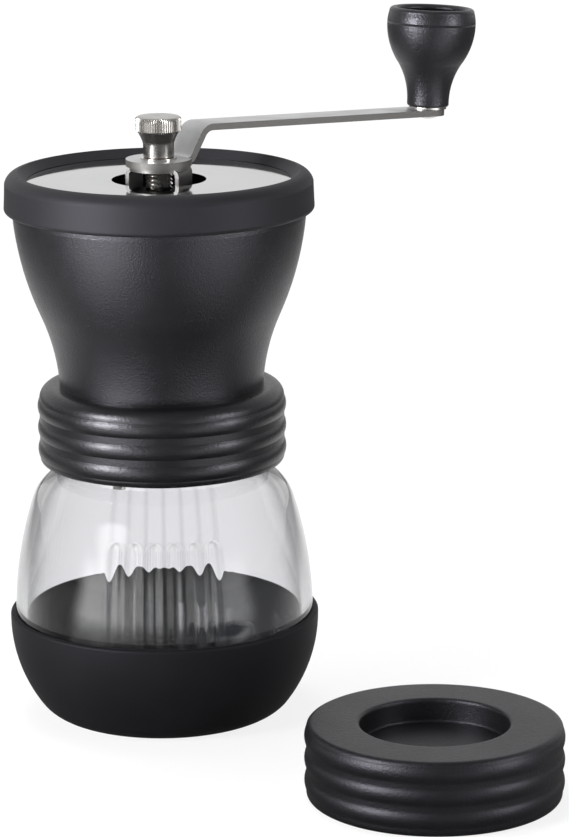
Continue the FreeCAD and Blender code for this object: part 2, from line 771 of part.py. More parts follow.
# Pieces under the inner burr: driver, washer and retaining clip
ring("burr_driver", SHAFT_BORE, "driver_radius", DRIVER_LOW, DRIVER_LOW + " + driver_thick", MILL)
WASHER_TOP = WASHER_LOW + " + lower_washer_thick"
ring("lower_washer", SHAFT_BORE, "lower_washer_radius", WASHER_LOW, WASHER_TOP, MILL)
CLIP_TOP = CLIP_LOW + " + clip_thick"
clip = ring("spindle_clip", "clip_groove + slip_fit", "clip_radius", CLIP_LOW, CLIP_TOP, MILL)
mouth_sizes = {"Length": "clip_radius", "Width": "2 * clip_groove", "Height": "clip_thick"}
solid(clip, "SubtractiveBox", "clip_mouth", mouth_sizes, ("0", "-clip_groove", CLIP_LOW))

# Spring that presses the inner burr down, between the spindle's shoulder and the bridge

spring = new_body("burr_spring")
SPRING_LOW = "(-spindle_shoulder_top + seat_gap + spring_wire)"
SPRING_HIGH = "(boss_height + spring_pocket_depth - seat_gap - spring_wire)"
wire = spring.newObject("Sketcher::SketchObject", "spring_section")
wire.AttachmentSupport = (origin_feature(spring, "XZ_Plane"), [""])
wire.MapMode = "FlatFace"
wire_centre = FreeCAD.Vector(size("spring_radius"), size(SPRING_LOW), 0)
wire.addGeometry(Part.Circle(wire_centre, FreeCAD.Vector(0, 0, 1), size("spring_wire")))
wire.addConstraint([
    Sketcher.Constraint("Radius", 0, size("spring_wire")),
    Sketcher.Constraint("DistanceX", -1, 1, 0, 3, wire_centre.x),
    Sketcher.Constraint("DistanceY", -1, 1, 0, 3, wire_centre.y),
])
for index, text in enumerate(("spring_wire", "spring_radius", SPRING_LOW)):
    wire.setExpression("Constraints[%d]" % index, bound(text))
coil = spring.newObject("PartDesign::AdditiveHelix", "spring_coil")
coil.Profile = wire
coil.ReferenceAxis = (wire, ["V_Axis"])
coil.Mode = 0
coil.Angle = 0
coil.setExpression("Height", bound("%s - %s" % (SPRING_HIGH, SPRING_LOW)))
coil.setExpression("Pitch", bound("(%s - %s) / spring_turns" % (SPRING_HIGH, SPRING_LOW)))
stand(spring, MILL)

# Thrust washer on the bushing and the toothed nut above it that sets how far the spindle hangs down

THRUST_LOW = "(bushing_flange + seat_gap)"
ADJUSTER_LOW = "(bushing_flange + thrust_thick + 2 * seat_gap)"
ring("thrust_washer", SPINDLE_PASS, "thrust_radius", THRUST_LOW, THRUST_LOW + " + thrust_thick", COLUMN)
adjuster = ring("adjusting_nut", "spindle_radius + running_fit", "adjuster_radius", ADJUSTER_LOW,
                ADJUSTER_LOW + " + adjuster_height", COLUMN)
notch_sizes = {"Length": "adjuster_radius", "Width": "adjuster_notch", "Height": "2 * adjuster_notch"}
notch_low = ADJUSTER_LOW + " + adjuster_height - adjuster_notch"
notch_place = ("spindle_radius + adjuster_notch", "-adjuster_notch / 2", notch_low)
notch = solid(adjuster, "SubtractiveBox", "adjuster_notch_cut", notch_sizes, notch_place)
around(adjuster, notch, "adjuster_teeth")

# Lid ring that caps the hopper's edge, with a groove for the polished plate

PLATE_LOW = "plate_height"
PLATE_TOP = "plate_height + plate_thick"
rim = new_body("lid_rim")
turned(rim, "rim_turned", [
    ("hopper_radius + rim_play", "-rim_drop"),
    ("rim_radius - rim_round", "-rim_drop"),
    ("rim_radius", "rim_round - rim_drop", "rim_round", 1),
    ("rim_shoulder_radius", "rim_shoulder"),
    ("rim_crest_radius", "rim_crest", "rim_crown", 1),
    ("rim_inner", "rim_inner_top"),
    ("rim_inner", PLATE_TOP + " + seat_gap"),
    ("plate_radius + slip_fit", PLATE_TOP + " + seat_gap"),
    ("plate_radius + slip_fit", PLATE_LOW + " - seat_gap"),
    ("rim_inner", PLATE_LOW + " - seat_gap"),
    ("rim_inner", "seat_gap"),
    ("hopper_radius + rim_play", "seat_gap"),
])
stand(rim, RIM)
ring("lid_plate", "plate_hole", "plate_radius", PLATE_LOW, PLATE_TOP, RIM)

# Crank arm: one bent steel strip with a round hub and a round eye, drooping a little towards its knob

TURN = "(rise_angle + droop)"
RISE_TANGENT = "rise_bend * tan(rise_angle / 2)"
TOP_TANGENT = "top_bend * tan(%s / 2)" % TURN
CREST = "(rise_start + rise_height / tan(rise_angle))"
CREST_HIGH = "(crank_thick / 2 + rise_height)"
EYE_HIGH = "(%s - (crank_radius - %s) * tan(droop))" % (CREST_HIGH, CREST)


crank = new_body("crank_arm")
path = outline(crank, "crank_path", [
    ("0", "crank_thick / 2"),
    ("rise_start - " + RISE_TANGENT, "crank_thick / 2"),
    ("rise_start + %s * cos(rise_angle)" % RISE_TANGENT,
     "crank_thick / 2 + %s * sin(rise_angle)" % RISE_TANGENT, "rise_bend", 1),
    ("%s - %s * cos(rise_angle)" % (CREST, TOP_TANGENT),
     "%s - %s * sin(rise_angle)" % (CREST_HIGH, TOP_TANGENT)),
    ("%s + %s * cos(droop)" % (CREST, TOP_TANGENT),
     "%s - %s * sin(droop)" % (CREST_HIGH, TOP_TANGENT), "top_bend", -1),
    ("crank_radius", EYE_HIGH),
], closed=False)
section = outline(crank, "crank_section", [
    ("-crank_width / 2", "0"),
    ("crank_width / 2", "0"),
    ("crank_width / 2", "crank_thick"),
    ("-crank_width / 2", "crank_thick"),
], "YZ_Plane")
strip = crank.newObject("PartDesign::AdditivePipe", "crank_strip")
strip.Profile = section
strip.Spine = (path, [])
solid(crank, "AdditiveCylinder", "crank_hub", {"Radius": "hub_radius", "Height": "crank_thick"})
FLAT = "(spindle_flat + slip_fit)"
ROUND = "(spindle_radius + slip_fit)"
HALF_FLAT = "sqrt(%s ^ 2 - %s ^ 2)" % (ROUND, FLAT)
pulled(crank, "crank_hub_hole", [
    ("-" + HALF_FLAT, "-" + FLAT, ROUND, 1),
    (HALF_FLAT, "-" + FLAT),
    (HALF_FLAT, FLAT, ROUND, 1),
    ("-" + HALF_FLAT, FLAT),
], "XY_Plane", "4 * crank_thick", cut=True)
eye_place = (
    "crank_radius - crank_thick / 2 * sin(droop)",
    "0",
    EYE_HIGH + " - crank_thick / 2 * cos(droop)",
)
eye_disc = {"Radius": "crank_width / 2", "Height": "crank_thick"}
solid(crank, "AdditiveCylinder", "crank_eye", eye_disc, eye_place, (0, 1, 0), "droop")
eye_hole = {"Radius": "rivet_radius + slip_fit", "Height": "crank_thick"}
solid(crank, "SubtractiveCylinder", "crank_eye_hole", eye_hole, eye_place, (0, 1, 0), "droop")
stand(crank, HUB, turn="arm_angle")

# Lock bracket: a round sheet under the hub whose two legs bend down past the adjusting nut

bracket = new_body("lock_bracket")
BEND = "bracket_corner"
INNER_BEND = "bracket_corner - bracket_sheet"
pulled(bracket, "bracket_bend", [
    ("bracket_half - bracket_sheet", "-bracket_drop"),
    ("bracket_half", "-bracket_drop"),
    ("bracket_half", "-bracket_corner"),
    ("bracket_half - bracket_corner", "0", BEND, 1),
    ("bracket_corner - bracket_half", "0"),
    ("-bracket_half", "-bracket_corner", BEND, 1),
    ("-bracket_half", "-bracket_drop"),
    ("bracket_sheet - bracket_half", "-bracket_drop"),
    ("bracket_sheet - bracket_half", "-bracket_corner"),
    ("bracket_corner - bracket_half", "-bracket_sheet", INNER_BEND, -1),
    ("bracket_half - bracket_corner", "-bracket_sheet"),
    ("bracket_half - bracket_sheet", "-bracket_corner", INNER_BEND, -1),
], "XZ_Plane", "bracket_width")
disc_sizes = {"Radius": "bracket_disc", "Height": "bracket_sheet"}
solid(bracket, "AdditiveCylinder", "bracket_top_disc", disc_sizes, ("0", "0", "-bracket_sheet"))
bracket_hole = {"Radius": "spindle_radius + running_fit", "Height": "2 * bracket_sheet"}
hole_place = ("0", "0", "-2 * bracket_sheet + seat_gap")
solid(bracket, "SubtractiveCylinder", "bracket_hole", bracket_hole, hole_place)
stand(bracket, HUB + " - seat_gap", turn="arm_angle + bracket_turn")


def on_eye(piece):
    """Stand a piece square on the upper face of the crank's eye, leaning out with the arm's droop."""
    reach = "(crank_radius + crank_thick / 2 * sin(droop))"
    rise = "%s + %s + crank_thick / 2 * cos(droop)" % (HUB, EYE_HIGH)
    stand(piece, rise, reach + " * cos(arm_angle)", reach + " * sin(arm_angle)", "arm_angle")
    lean = FreeCAD.Rotation(FreeCAD.Vector(0, 1, 0), size("droop"))
    piece.Placement = FreeCAD.Placement(piece.Placement.Base, piece.Placement.Rotation * lean)


# Knob rivet and washer: a headed pin through the crank's eye that the knob turns on

KNOB_SEAT = "(knob_washer_thick + 2 * seat_gap)"
RIVET_LOW = "-crank_thick - seat_gap"
RIVET_HIGH = KNOB_SEAT + " + knob_floor + seat_gap"
HEAD_DOME = "(rivet_head_radius ^ 2 + rivet_head ^ 2) / (2 * rivet_head)"
rivet = new_body("knob_rivet")
turned(rivet, "rivet_turned", [
    ("0", RIVET_LOW + " - rivet_head"),
    ("rivet_head_radius", RIVET_LOW, HEAD_DOME, 1),
    ("rivet_radius", RIVET_LOW),
    ("rivet_radius", RIVET_HIGH),
    ("rivet_head_radius", RIVET_HIGH),
    ("0", RIVET_HIGH + " + rivet_head", HEAD_DOME, 1),
])
on_eye(rivet)
knob_washer = ring("knob_washer", "rivet_radius + running_fit", "knob_washer_radius", "seat_gap",
                   "seat_gap + knob_washer_thick")
on_eye(knob_washer)

# Crank knob: a waisted hollow cup, open at the top, with the rivet's head at the bottom of its well

knob = new_body("crank_knob")
turned(knob, "knob_turned", [
    ("rivet_radius + running_fit", KNOB_SEAT),
    ("knob_foot - knob_foot_round", KNOB_SEAT),
    ("knob_foot", KNOB_SEAT + " + knob_foot_round", "knob_foot_round", 1),
    ("knob_foot", KNOB_SEAT + " + knob_neck"),
    ("knob_mid_radius", KNOB_SEAT + " + knob_mid", "knob_low_round", -1),
    ("knob_radius", KNOB_SEAT + " + knob_belly", "knob_bow", 1),
    ("knob_top_radius", KNOB_SEAT + " + knob_length - knob_wall / 2", "knob_top_round", 1),
    ("knob_top_radius - knob_wall / 2", KNOB_SEAT + " + knob_length", "knob_wall / 2", 1),
    ("knob_top_radius - knob_wall", KNOB_SEAT + " + knob_length - knob_wall / 2", "knob_wall / 2", 1),
    ("knob_radius - knob_wall", KNOB_SEAT + " + knob_belly", "knob_top_round - knob_wall", -1),
    ("knob_mid_radius - knob_wall", KNOB_SEAT + " + knob_mid", "knob_bow - knob_wall", -1),
    ("knob_well", KNOB_SEAT + " + knob_floor"),
    ("rivet_radius + running_fit", KNOB_SEAT + " + knob_floor"),
])
on_eye(knob)

# Knurled top nut that holds the crank on the spindle, and its washer

ring("nut_washer", "tip_radius + loose_fit", "nut_washer_radius", "crank_thick + seat_gap",
     "crank_thick + seat_gap + nut_washer_thick", HUB)
NUT_LOW = "(crank_thick + nut_washer_thick + 2 * seat_gap)"
nut = new_body("top_nut")
turned(nut, "nut_turned", [
    ("tip_radius + running_fit", NUT_LOW),
    ("nut_stem_radius", NUT_LOW),
    ("nut_stem_radius", NUT_LOW + " + nut_stem"),
    ("nut_cone_radius", NUT_LOW + " + nut_cone"),
    ("nut_head_radius", NUT_LOW + " + nut_cone"),
    ("nut_head_radius", NUT_LOW + " + nut_height - nut_edge"),
    ("nut_head_radius - nut_edge", NUT_LOW + " + nut_height", "nut_edge", 1),
    ("0", NUT_LOW + " + nut_height"),
    ("0", NUT_LOW + " + nut_bore_depth"),
    ("tip_radius + running_fit", NUT_LOW + " + nut_bore_depth"),
])
knurl_sizes = {"Length": "2 * knurl_depth", "Width": "knurl_width", "Height": "nut_height"}
knurl_place = ("nut_head_radius - knurl_depth", "-knurl_width / 2", NUT_LOW + " + nut_cone - knurl_depth")
knurl = solid(nut, "SubtractiveBox", "knurl_cut", knurl_sizes, knurl_place)
around(nut, knurl, "knurl_count")
stand(nut, HUB)

# Storage lid: ribbed screw cap for the jar with a round recess in its top, standing by itself

RECESS_FLOOR = "storage_height - recess_depth"
LID_SEAT = "storage_height - storage_top_wall"
storage = new_body("storage_lid")
turned(storage, "storage_turned", [
    (THREAD_BORE, "0"),
    ("storage_radius - storage_edge", "0"),
    ("storage_radius", "storage_edge", "storage_edge", 1),
    *ribbed_side("storage_radius", "storage_rib_low"),
    ("storage_radius", "storage_height - storage_round"),
    ("storage_radius - storage_round", "storage_height", "storage_round", 1),
    ("recess_radius + recess_edge", "storage_height"),
    ("recess_radius", "storage_height - recess_edge", "recess_edge", 1),
    ("recess_radius", RECESS_FLOOR),
    ("0", RECESS_FLOOR),
    ("0", RECESS_FLOOR + " - recess_wall"),
    ("recess_radius + recess_wall", RECESS_FLOOR + " - recess_wall"),
    ("recess_radius + recess_wall", LID_SEAT),
    (THREAD_BORE, LID_SEAT),
])
neck_below_seat = "(%s - %s - thread_pitch / 2)" % (NECK_TOP, THREAD_START)
thread(storage, "storage_thread", THREAD_BORE, -1, "%s - seal_thick - %s" % (LID_SEAT, neck_below_seat))
stand(storage, "0", "storage_x", "storage_y")
lid_seal = ring("storage_lid_seal", "seal_inner", "seal_outer", LID_SEAT + " - seat_gap - seal_thick",
                LID_SEAT + " - seat_gap")
stand(lid_seal, "0", "storage_x", "storage_y")

doc.recompute()
for item in doc.Objects:
    if "Invalid" in item.State or "Error" in item.State:
        raise RuntimeError("%s failed: %s" % (item.Name, item.State))
os.makedirs("parts", exist_ok=True)
for piece in sub_parts:
    if piece.Shape.isNull() or not piece.Shape.isValid():
        raise RuntimeError("%s has no valid shape" % piece.Label)
for piece in sub_parts:
    piece.Shape.exportStep("parts/%s.step" % piece.Label)
    print("%-18s %10.1f mm3" % (piece.Label, piece.Shape.Volume))
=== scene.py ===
import math

import bpy
from mathutils import Matrix, Vector


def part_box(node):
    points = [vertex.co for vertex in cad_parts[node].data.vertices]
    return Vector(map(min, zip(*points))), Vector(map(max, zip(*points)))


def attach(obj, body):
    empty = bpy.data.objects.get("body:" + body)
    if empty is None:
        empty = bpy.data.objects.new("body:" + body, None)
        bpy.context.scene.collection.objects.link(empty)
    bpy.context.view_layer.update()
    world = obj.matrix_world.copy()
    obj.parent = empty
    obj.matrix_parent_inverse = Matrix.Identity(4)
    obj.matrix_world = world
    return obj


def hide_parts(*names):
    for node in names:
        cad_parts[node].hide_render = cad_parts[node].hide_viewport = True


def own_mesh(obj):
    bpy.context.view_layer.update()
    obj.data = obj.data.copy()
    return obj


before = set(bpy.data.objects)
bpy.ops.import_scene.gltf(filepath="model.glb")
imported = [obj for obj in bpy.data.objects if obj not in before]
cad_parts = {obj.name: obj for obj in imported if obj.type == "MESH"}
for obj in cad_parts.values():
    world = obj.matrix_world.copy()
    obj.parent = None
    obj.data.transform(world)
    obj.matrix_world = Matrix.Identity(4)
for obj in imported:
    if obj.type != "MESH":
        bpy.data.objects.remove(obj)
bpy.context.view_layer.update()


# Base sleeve: a silicone cup moulded in one piece and stretched over the foot of the jar.
# Dull black rubber with a very fine moulded skin, a little paler where dust and hands have rubbed it.

MM = 0.001


def add_node(tree, kind, inputs=None, **settings):
    """Adds a shader node, sets its plain inputs and joins those that are given as sockets."""
    node = tree.nodes.new("ShaderNode" + kind)
    for name, value in settings.items():
        setattr(node, name, value)
    for key, value in (inputs or {}).items():
        if isinstance(value, bpy.types.NodeSocket):
            tree.links.new(value, node.inputs[key])
        else:
            node.inputs[key].default_value = value
    return node


def calc(tree, operation, *values, clamp=False):
    """The result of a Math node on one to three sockets or numbers."""
    return add_node(tree, "Math", dict(enumerate(values)), operation=operation, use_clamp=clamp).outputs[0]


def ramp(tree, value, low=0.0, high=1.0, to_low=0.0, to_high=1.0, shape="LINEAR"):
    """Takes low to to_low and high to to_high, and holds those values beyond them."""
    limits = {"Value": value, "From Min": low, "From Max": high, "To Min": to_low, "To Max": to_high}
    return add_node(tree, "MapRange", limits, interpolation_type=shape).outputs[0]


def noise(tree, spot, scale, detail, roughness=0.5):
    """A cloudy value between 0 and 1 over the surface."""
    look = {"Vector": spot, "Scale": scale, "Detail": detail, "Roughness": roughness}
    return add_node(tree, "TexNoise", look).outputs[0]


def mix_colours(tree, share, first, second):
    """The first colour where share is 0 and the second where it is 1."""
    return add_node(tree, "Mix", {0: share, 6: first, 7: second}, data_type="RGBA").outputs[2]


def new_effect(name, inputs, outputs):
    """An empty node group with named sockets; gives the group, its input sockets and its end node."""
    group = bpy.data.node_groups.new(name, "ShaderNodeTree")
    for label, kind in inputs:
        group.interface.new_socket(label, in_out="INPUT", socket_type="NodeSocket" + kind)
    for label, kind in outputs:
        group.interface.new_socket(label, in_out="OUTPUT", socket_type="NodeSocket" + kind)
    start = group.nodes.new("NodeGroupInput")
    return group, start.outputs, group.nodes.new("NodeGroupOutput")


def place_effect(tree, group, **inputs):
    """Puts a node group into a material; underscores in the names stand for spaces."""
    node = tree.nodes.new("ShaderNodeGroup")
    node.node_tree = group
    for label, value in inputs.items():
        socket = node.inputs[label.replace("_", " ")]
        if isinstance(value, bpy.types.NodeSocket):
            tree.links.new(value, socket)
        else:
            socket.default_value = value
    return node.outputs


def new_finish(name, **plain):
    """A material with one Principled shader and its even values set on the shader itself."""
    material = bpy.data.materials.new(name)
    material.use_nodes = True
    shader = material.node_tree.nodes["Principled BSDF"]
    for label, value in plain.items():
        shader.inputs[label.replace("_", " ")].default_value = value
    return material, material.node_tree, shader


def cover(tree, shader, surface, depth):
    """Joins an effect's colour, roughness and relief to a shader; depth is in millimetres."""
    relief = add_node(tree, "Bump", {"Height": surface["Height"], "Strength": 1.0, "Distance": depth * MM})
    tree.links.new(surface["Color"], shader.inputs["Base Color"])
    tree.links.new(surface["Roughness"], shader.inputs["Roughness"])
    tree.links.new(relief.outputs[0], shader.inputs["Normal"])


def dress(material, *names):
    """Gives CAD nodes this finish in place of the plain one they come with."""
    for name in names:
        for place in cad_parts[name].material_slots:
            place.material = material


skin, given, end = new_effect(
    "moulded_skin",
    [("Colour", "Color"), ("Rubbed Colour", "Color"), ("Grain", "Float"), ("Roughness", "Float"),
     ("Spread", "Float")],
    [("Color", "Color"), ("Roughness", "Float"), ("Height", "Float")])
spot = add_node(skin, "TexCoord").outputs["Object"]
grain = noise(skin, spot, given["Grain"], detail=2.0, roughness=0.65)
cloud = noise(skin, spot, scale=46.0, detail=5.0, roughness=0.62)
rubbed = ramp(skin, cloud, low=0.48, high=0.8)
tone = mix_colours(skin, rubbed, given["Colour"], given["Rubbed Colour"])
lively = calc(skin, "ADD", grain, cloud)
around_zero = calc(skin, "SUBTRACT", lively, 1.0)
rough = calc(skin, "MULTIPLY_ADD", around_zero, given["Spread"], given["Roughness"], clamp=True)
skin.links.new(tone, end.inputs["Color"])
skin.links.new(rough, end.inputs["Roughness"])
skin.links.new(grain, end.inputs["Height"])


def moulded(name, colour, rubbed_colour, grain, roughness, spread, depth, **plain):
    """A moulded finish: the skin's colour, roughness and relief on one shader."""
    material, tree, shader = new_finish(name, **plain)
    surface = place_effect(tree, skin, Colour=colour + (1.0,), Rubbed_Colour=rubbed_colour + (1.0,),
                           Grain=grain, Roughness=roughness, Spread=spread)
    cover(tree, shader, surface, depth)
    return material


sleeve_silicone = moulded("sleeve_silicone", (0.0052, 0.0052, 0.0058), (0.007, 0.007, 0.0077),
                          grain=2600.0, roughness=0.62, spread=0.1, depth=0.02,
                          Specular_IOR_Level=0.18, Specular_Tint=(0.86, 0.86, 1.0, 1.0))
dress(sleeve_silicone, "base_sleeve")


# Glass jar: thick clear pressed glass with a swelling body and a coarse screw thread at its neck.
# Six hollow flutes with arched tops and rounded ridges between them are pressed into the front and into the
# back, down to under the sleeve; the glass's colour is darkened along its ridges and where it is seen
# edge-on, as painted shade.


def bowed(start, end, radius, side, steps):
    """Points on the short arc from start to end, without start; side 1 turns left on the way."""
    start, end = Vector(start), Vector(end)
    chord = end - start
    left = Vector((-chord.y, chord.x)).normalized()
    centre = (start + end) / 2 + left * side * math.sqrt(radius ** 2 - chord.length_squared / 4)
    first = start - centre
    sweep = side * first.angle(end - centre)
    points = []
    for step in range(1, steps + 1):
        turn = sweep * step / steps
        points.append((centre.x + first.x * math.cos(turn) - first.y * math.sin(turn),
                       centre.y + first.x * math.sin(turn) + first.y * math.cos(turn)))
    return points


def straight(start, end, steps):
    """Evenly spaced points on a line, without its start."""
    return [(start[0] + (end[0] - start[0]) * step / steps, start[1] + (end[1] - start[1]) * step / steps)
            for step in range(1, steps + 1)]


def outline(start, *moves):
    """Points of a turned profile; a move is (end, steps), or (end, steps, radius, side) for an arc."""
    points, here = [start], start
    for end, steps, *bow in moves:
        points += bowed(here, end, *bow, steps) if bow else straight(here, end, steps)
        here = end
    return points


def turned_piece(name, profile, angles, carve, sharp):
    """A turned body with its profile in millimetres; carve(radius, height, angle, row) cuts its surface."""
    points, faces, rings = [], [], []
    for row, (radius, height) in enumerate(profile):
        if radius == 0:
            rings.append([len(points)] * len(angles))
            points.append((0.0, 0.0, height * MM))
            continue
        rings.append(list(range(len(points), len(points) + len(angles))))
        for angle in angles:
            reach = carve(radius, height, angle, row) * MM
            points.append((reach * math.cos(angle), reach * math.sin(angle), height * MM))
    for low, high in zip(rings, rings[1:]):
        for here in range(len(angles)):
            there = (here + 1) % len(angles)
            corners = (low[here], low[there], high[there], high[here])
            faces.append(tuple(dict.fromkeys(corners)))
    mesh = bpy.data.meshes.new(name)
    mesh.from_pydata(points, [], faces)
    mesh.shade_smooth()
    mesh.set_sharp_from_angle(angle=math.radians(sharp))
    piece = bpy.data.objects.new(name, mesh)
    bpy.context.scene.collection.objects.link(piece)
    return piece


FULL_TURN = 2 * math.pi
JAR_OUTSIDE = outline(
    (0, 1.95), ((31.5, 1.95), 1), ((36.91, 5.35), 6, 11.3, 1), ((44.9, 29.8), 18, 41.4, 1),
    ((39.3, 65.8), 72, 116.6, 1), ((30.6, 75.4), 12, 15.9, 1), ((30.6, 95.6), 46), ((29.6, 96.6), 4, 1.0, 1))
JAR_INSIDE = outline(
    (28.4, 96.6), ((27.4, 95.6), 4, 1.0, 1), ((27.4, 73.9), 4), ((35.9, 64.3), 16, 16.1, -1),
    ((41.5, 29.8), 18, 113.2, -1), ((37.05, 11.96), 12, 38.0, -1), ((30.5, 6.5), 8, 11.0, -1),
    ((6.0, 6.5), 4), ((0, 6.5), 1))
FACINGS = (-90, 90)
FLUTES = 6
FLUTE_WIDTH = math.radians(8.0)
FLUTE_TURNS = [math.radians(facing) + FLUTE_WIDTH * (number - (FLUTES - 1) / 2)
               for facing in FACINGS for number in range(FLUTES)]
FLUTE_DEPTH = 0.62
FLUTE_TOP = 62.4
FLUTE_FOOT = 9.0
FLUTE_END = 6.0
FADE_FROM_TOP = FLUTE_TOP - math.sqrt(2 * FLUTE_END * FLUTE_DEPTH - FLUTE_DEPTH ** 2)
FADE_FROM_FOOT = 13.0
NECK_FOOT, NECK_TOP = 77.0, 95.0
NECK_PITCH = 6.0
NECK_START = 81.5
NECK_RUN = 3 * math.pi
NECK_RUN_OUT = 0.35
NECK_RIDGE = 1.5
NECK_RIDGE_HALF = 1.15
NECK_FLANK = 0.6


def press_jar(radius, height, angle, row):
    """Hollows the flutes into the outside of the jar and raises the thread on its neck."""
    if row >= len(JAR_OUTSIDE):
        return radius
    if NECK_FOOT < height < NECK_TOP:
        ridge_shade = 0.0
        for lap in (0, 1):
            along = angle % FULL_TURN + lap * FULL_TURN
            if along <= NECK_RUN:
                off = abs(height - NECK_START - NECK_PITCH * along / FULL_TURN)
                fade = min(1.0, along / NECK_RUN_OUT, (NECK_RUN - along) / NECK_RUN_OUT)
                flank = min(1.0, max(0.0, (NECK_RIDGE_HALF - off) / NECK_FLANK))
                ridge_shade = max(ridge_shade, NECK_RIDGE * fade * flank)
        return radius + ridge_shade
    if not FLUTE_FOOT < height < FLUTE_TOP:
        return radius
    past = max(0.0, height - FADE_FROM_TOP, FADE_FROM_FOOT - height)
    depth = FLUTE_DEPTH - FLUTE_END + math.sqrt(FLUTE_END ** 2 - past ** 2)
    cut = 0.0
    for facing in FLUTE_TURNS:
        swing = (angle - facing + math.pi) % FULL_TURN - math.pi
        if abs(swing) < FLUTE_WIDTH / 2:
            rise = FLUTE_DEPTH * (1.0 - math.cos(FULL_TURN * swing / FLUTE_WIDTH)) / 2
            cut = max(cut, depth - rise)
    return radius - cut


FINE_HALF = 27.0
FINE_STEP, FINE_COUNT = 0.4, 135
PLAIN_STEP, PLAIN_COUNT = 2.625, 48
jar_angles = []
for facing in FACINGS:
    jar_angles += [facing - FINE_HALF + FINE_STEP * step for step in range(FINE_COUNT)]
    jar_angles += [facing + FINE_HALF + PLAIN_STEP * step for step in range(PLAIN_COUNT)]
jar_angles = [math.radians(angle) for angle in jar_angles]
jar = turned_piece("jar_glass_body", JAR_OUTSIDE + JAR_INSIDE, jar_angles, press_jar, sharp=50.0)

RIDGE_HALF = math.radians(1.7)
PATCH_END, PATCH_FULL = math.radians(25.5), math.radians(24.5)
RIDGE_END, RIDGE_FULL = (FLUTE_TOP - 0.5) * MM, (FLUTE_TOP - 3.5) * MM
# Painted shade: the glass colour darkens along the flute ridges and towards the edges where it is seen
# edge-on.
CLEAR_TINT = (0.92, 0.92, 0.936, 1.0)
RIDGE_PAINTED_SHADE = (0.78, 0.782, 0.8, 1.0)
EDGE_PAINTED_SHADE = (0.32, 0.33, 0.34, 1.0)
SHADOW_TINT = (0.93, 0.95, 0.95, 1.0)
jar_glass, tree, shader = new_finish("jar_glass", IOR=1.5, Transmission_Weight=1.0, Metallic=0.0)
spot = add_node(tree, "TexCoord").outputs["Object"]
part = add_node(tree, "SeparateXYZ", {0: spot}).outputs
depth = calc(tree, "ABSOLUTE", part["Y"])
swing = calc(tree, "ARCTAN2", part["X"], depth)
to_ridge = calc(tree, "PINGPONG", swing, FLUTE_WIDTH / 2)
ridge_shade = ramp(tree, to_ridge, RIDGE_HALF, 0.0, shape="SMOOTHSTEP")
swing = calc(tree, "ABSOLUTE", swing)
in_patch = ramp(tree, swing, PATCH_END, PATCH_FULL)
under_top = ramp(tree, part["Z"], RIDGE_END, RIDGE_FULL)
ridge_shade = calc(tree, "MULTIPLY", ridge_shade, in_patch)
ridge_shade = calc(tree, "MULTIPLY", ridge_shade, under_top)
tint_and_shade = mix_colours(tree, ridge_shade, CLEAR_TINT, RIDGE_PAINTED_SHADE)
facing = add_node(tree, "LayerWeight", {"Blend": 0.5}).outputs["Facing"]
edge_shade = ramp(tree, facing, low=0.5, high=0.86, shape="SMOOTHSTEP")
tint_and_shade = mix_colours(tree, edge_shade, tint_and_shade, EDGE_PAINTED_SHADE)
film = noise(tree, spot, scale=55.0, detail=4.0)
film = ramp(tree, film, low=0.5, high=0.9, to_high=0.02)
ripple = noise(tree, spot, scale=38.0, detail=1.0)
ripple = add_node(tree, "Bump", {"Height": ripple, "Strength": 1.0, "Distance": 0.03 * MM}).outputs[0]
tree.links.new(tint_and_shade, shader.inputs["Base Color"])
tree.links.new(film, shader.inputs["Roughness"])
tree.links.new(ripple, shader.inputs["Normal"])
lamp_ray = add_node(tree, "LightPath").outputs["Is Shadow Ray"]
clear = add_node(tree, "BsdfTransparent", {"Color": SHADOW_TINT}).outputs[0]
through = add_node(tree, "MixShader", {0: lamp_ray, 1: shader.outputs[0], 2: clear}).outputs[0]
tree.links.new(through, tree.nodes["Material Output"].inputs["Surface"])
jar.data.materials.append(jar_glass)
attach(jar, "jar")
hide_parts("glass_jar")


# Seal rings: flat silicone rings in the seat of the collar and in the storage lid.
# Punched from sheet and pressed into their seats, with a dull skin like that of the sleeve.

seal_silicone = moulded("seal_silicone", (0.02, 0.02, 0.021), (0.032, 0.032, 0.033),
                        grain=1900.0, roughness=0.55, spread=0.15, depth=0.01, Specular_IOR_Level=0.35)
dress(seal_silicone, "jar_seal", "storage_lid_seal")


# Screw collar: a moulded ring with three soft grip ribs and a coarse thread inside, bonded to the hopper.
# Black plastic with a fine even grain that breaks up its highlights.

collar_plastic = moulded("collar_plastic", (0.0044, 0.0044, 0.005), (0.0058, 0.0058, 0.0065),
                         grain=1300.0, roughness=0.34, spread=0.16, depth=0.09,
                         Specular_IOR_Level=0.46, Specular_Tint=(0.92, 0.91, 1.0, 1.0))
dress(collar_plastic, "screw_collar")


# Hopper: a waisted moulded funnel with a straight band at the top for the lid ring.
# Black plastic from a spark-textured mould: satin, with a speckle where light falls on it.

hopper_plastic = moulded("hopper_plastic", (0.006, 0.006, 0.0068), (0.0078, 0.0078, 0.0087),
                         grain=1900.0, roughness=0.33, spread=0.2, depth=0.12,
                         Specular_IOR_Level=0.58, Specular_Tint=(0.9, 0.89, 1.0, 1.0))
dress(hopper_plastic, "hopper")


# Bearing bridge, burr retainer and burr driver: plain mouldings inside the mill.
# Black plastic with a smooth mould finish, held by small screws and by the spindle.

bridge_plastic = moulded("bridge_plastic", (0.016, 0.016, 0.017), (0.026, 0.024, 0.022),
                         grain=1700.0, roughness=0.36, spread=0.2, depth=0.01, Specular_IOR_Level=0.5)
dress(bridge_plastic, "bearing_bridge", "burr_retainer", "burr_driver")


# Bushings: plain bearing sleeves pressed into the bridge and the retainer.
# Off-white bearing plastic, slightly waxy and browned by coffee oil in places.

bushing_plastic = moulded("bushing_plastic", (0.7, 0.68, 0.62), (0.46, 0.38, 0.28),
                          grain=900.0, roughness=0.42, spread=0.15, depth=0.008, Subsurface_Weight=0.05)
dress(bushing_plastic, "upper_bushing", "lower_bushing")


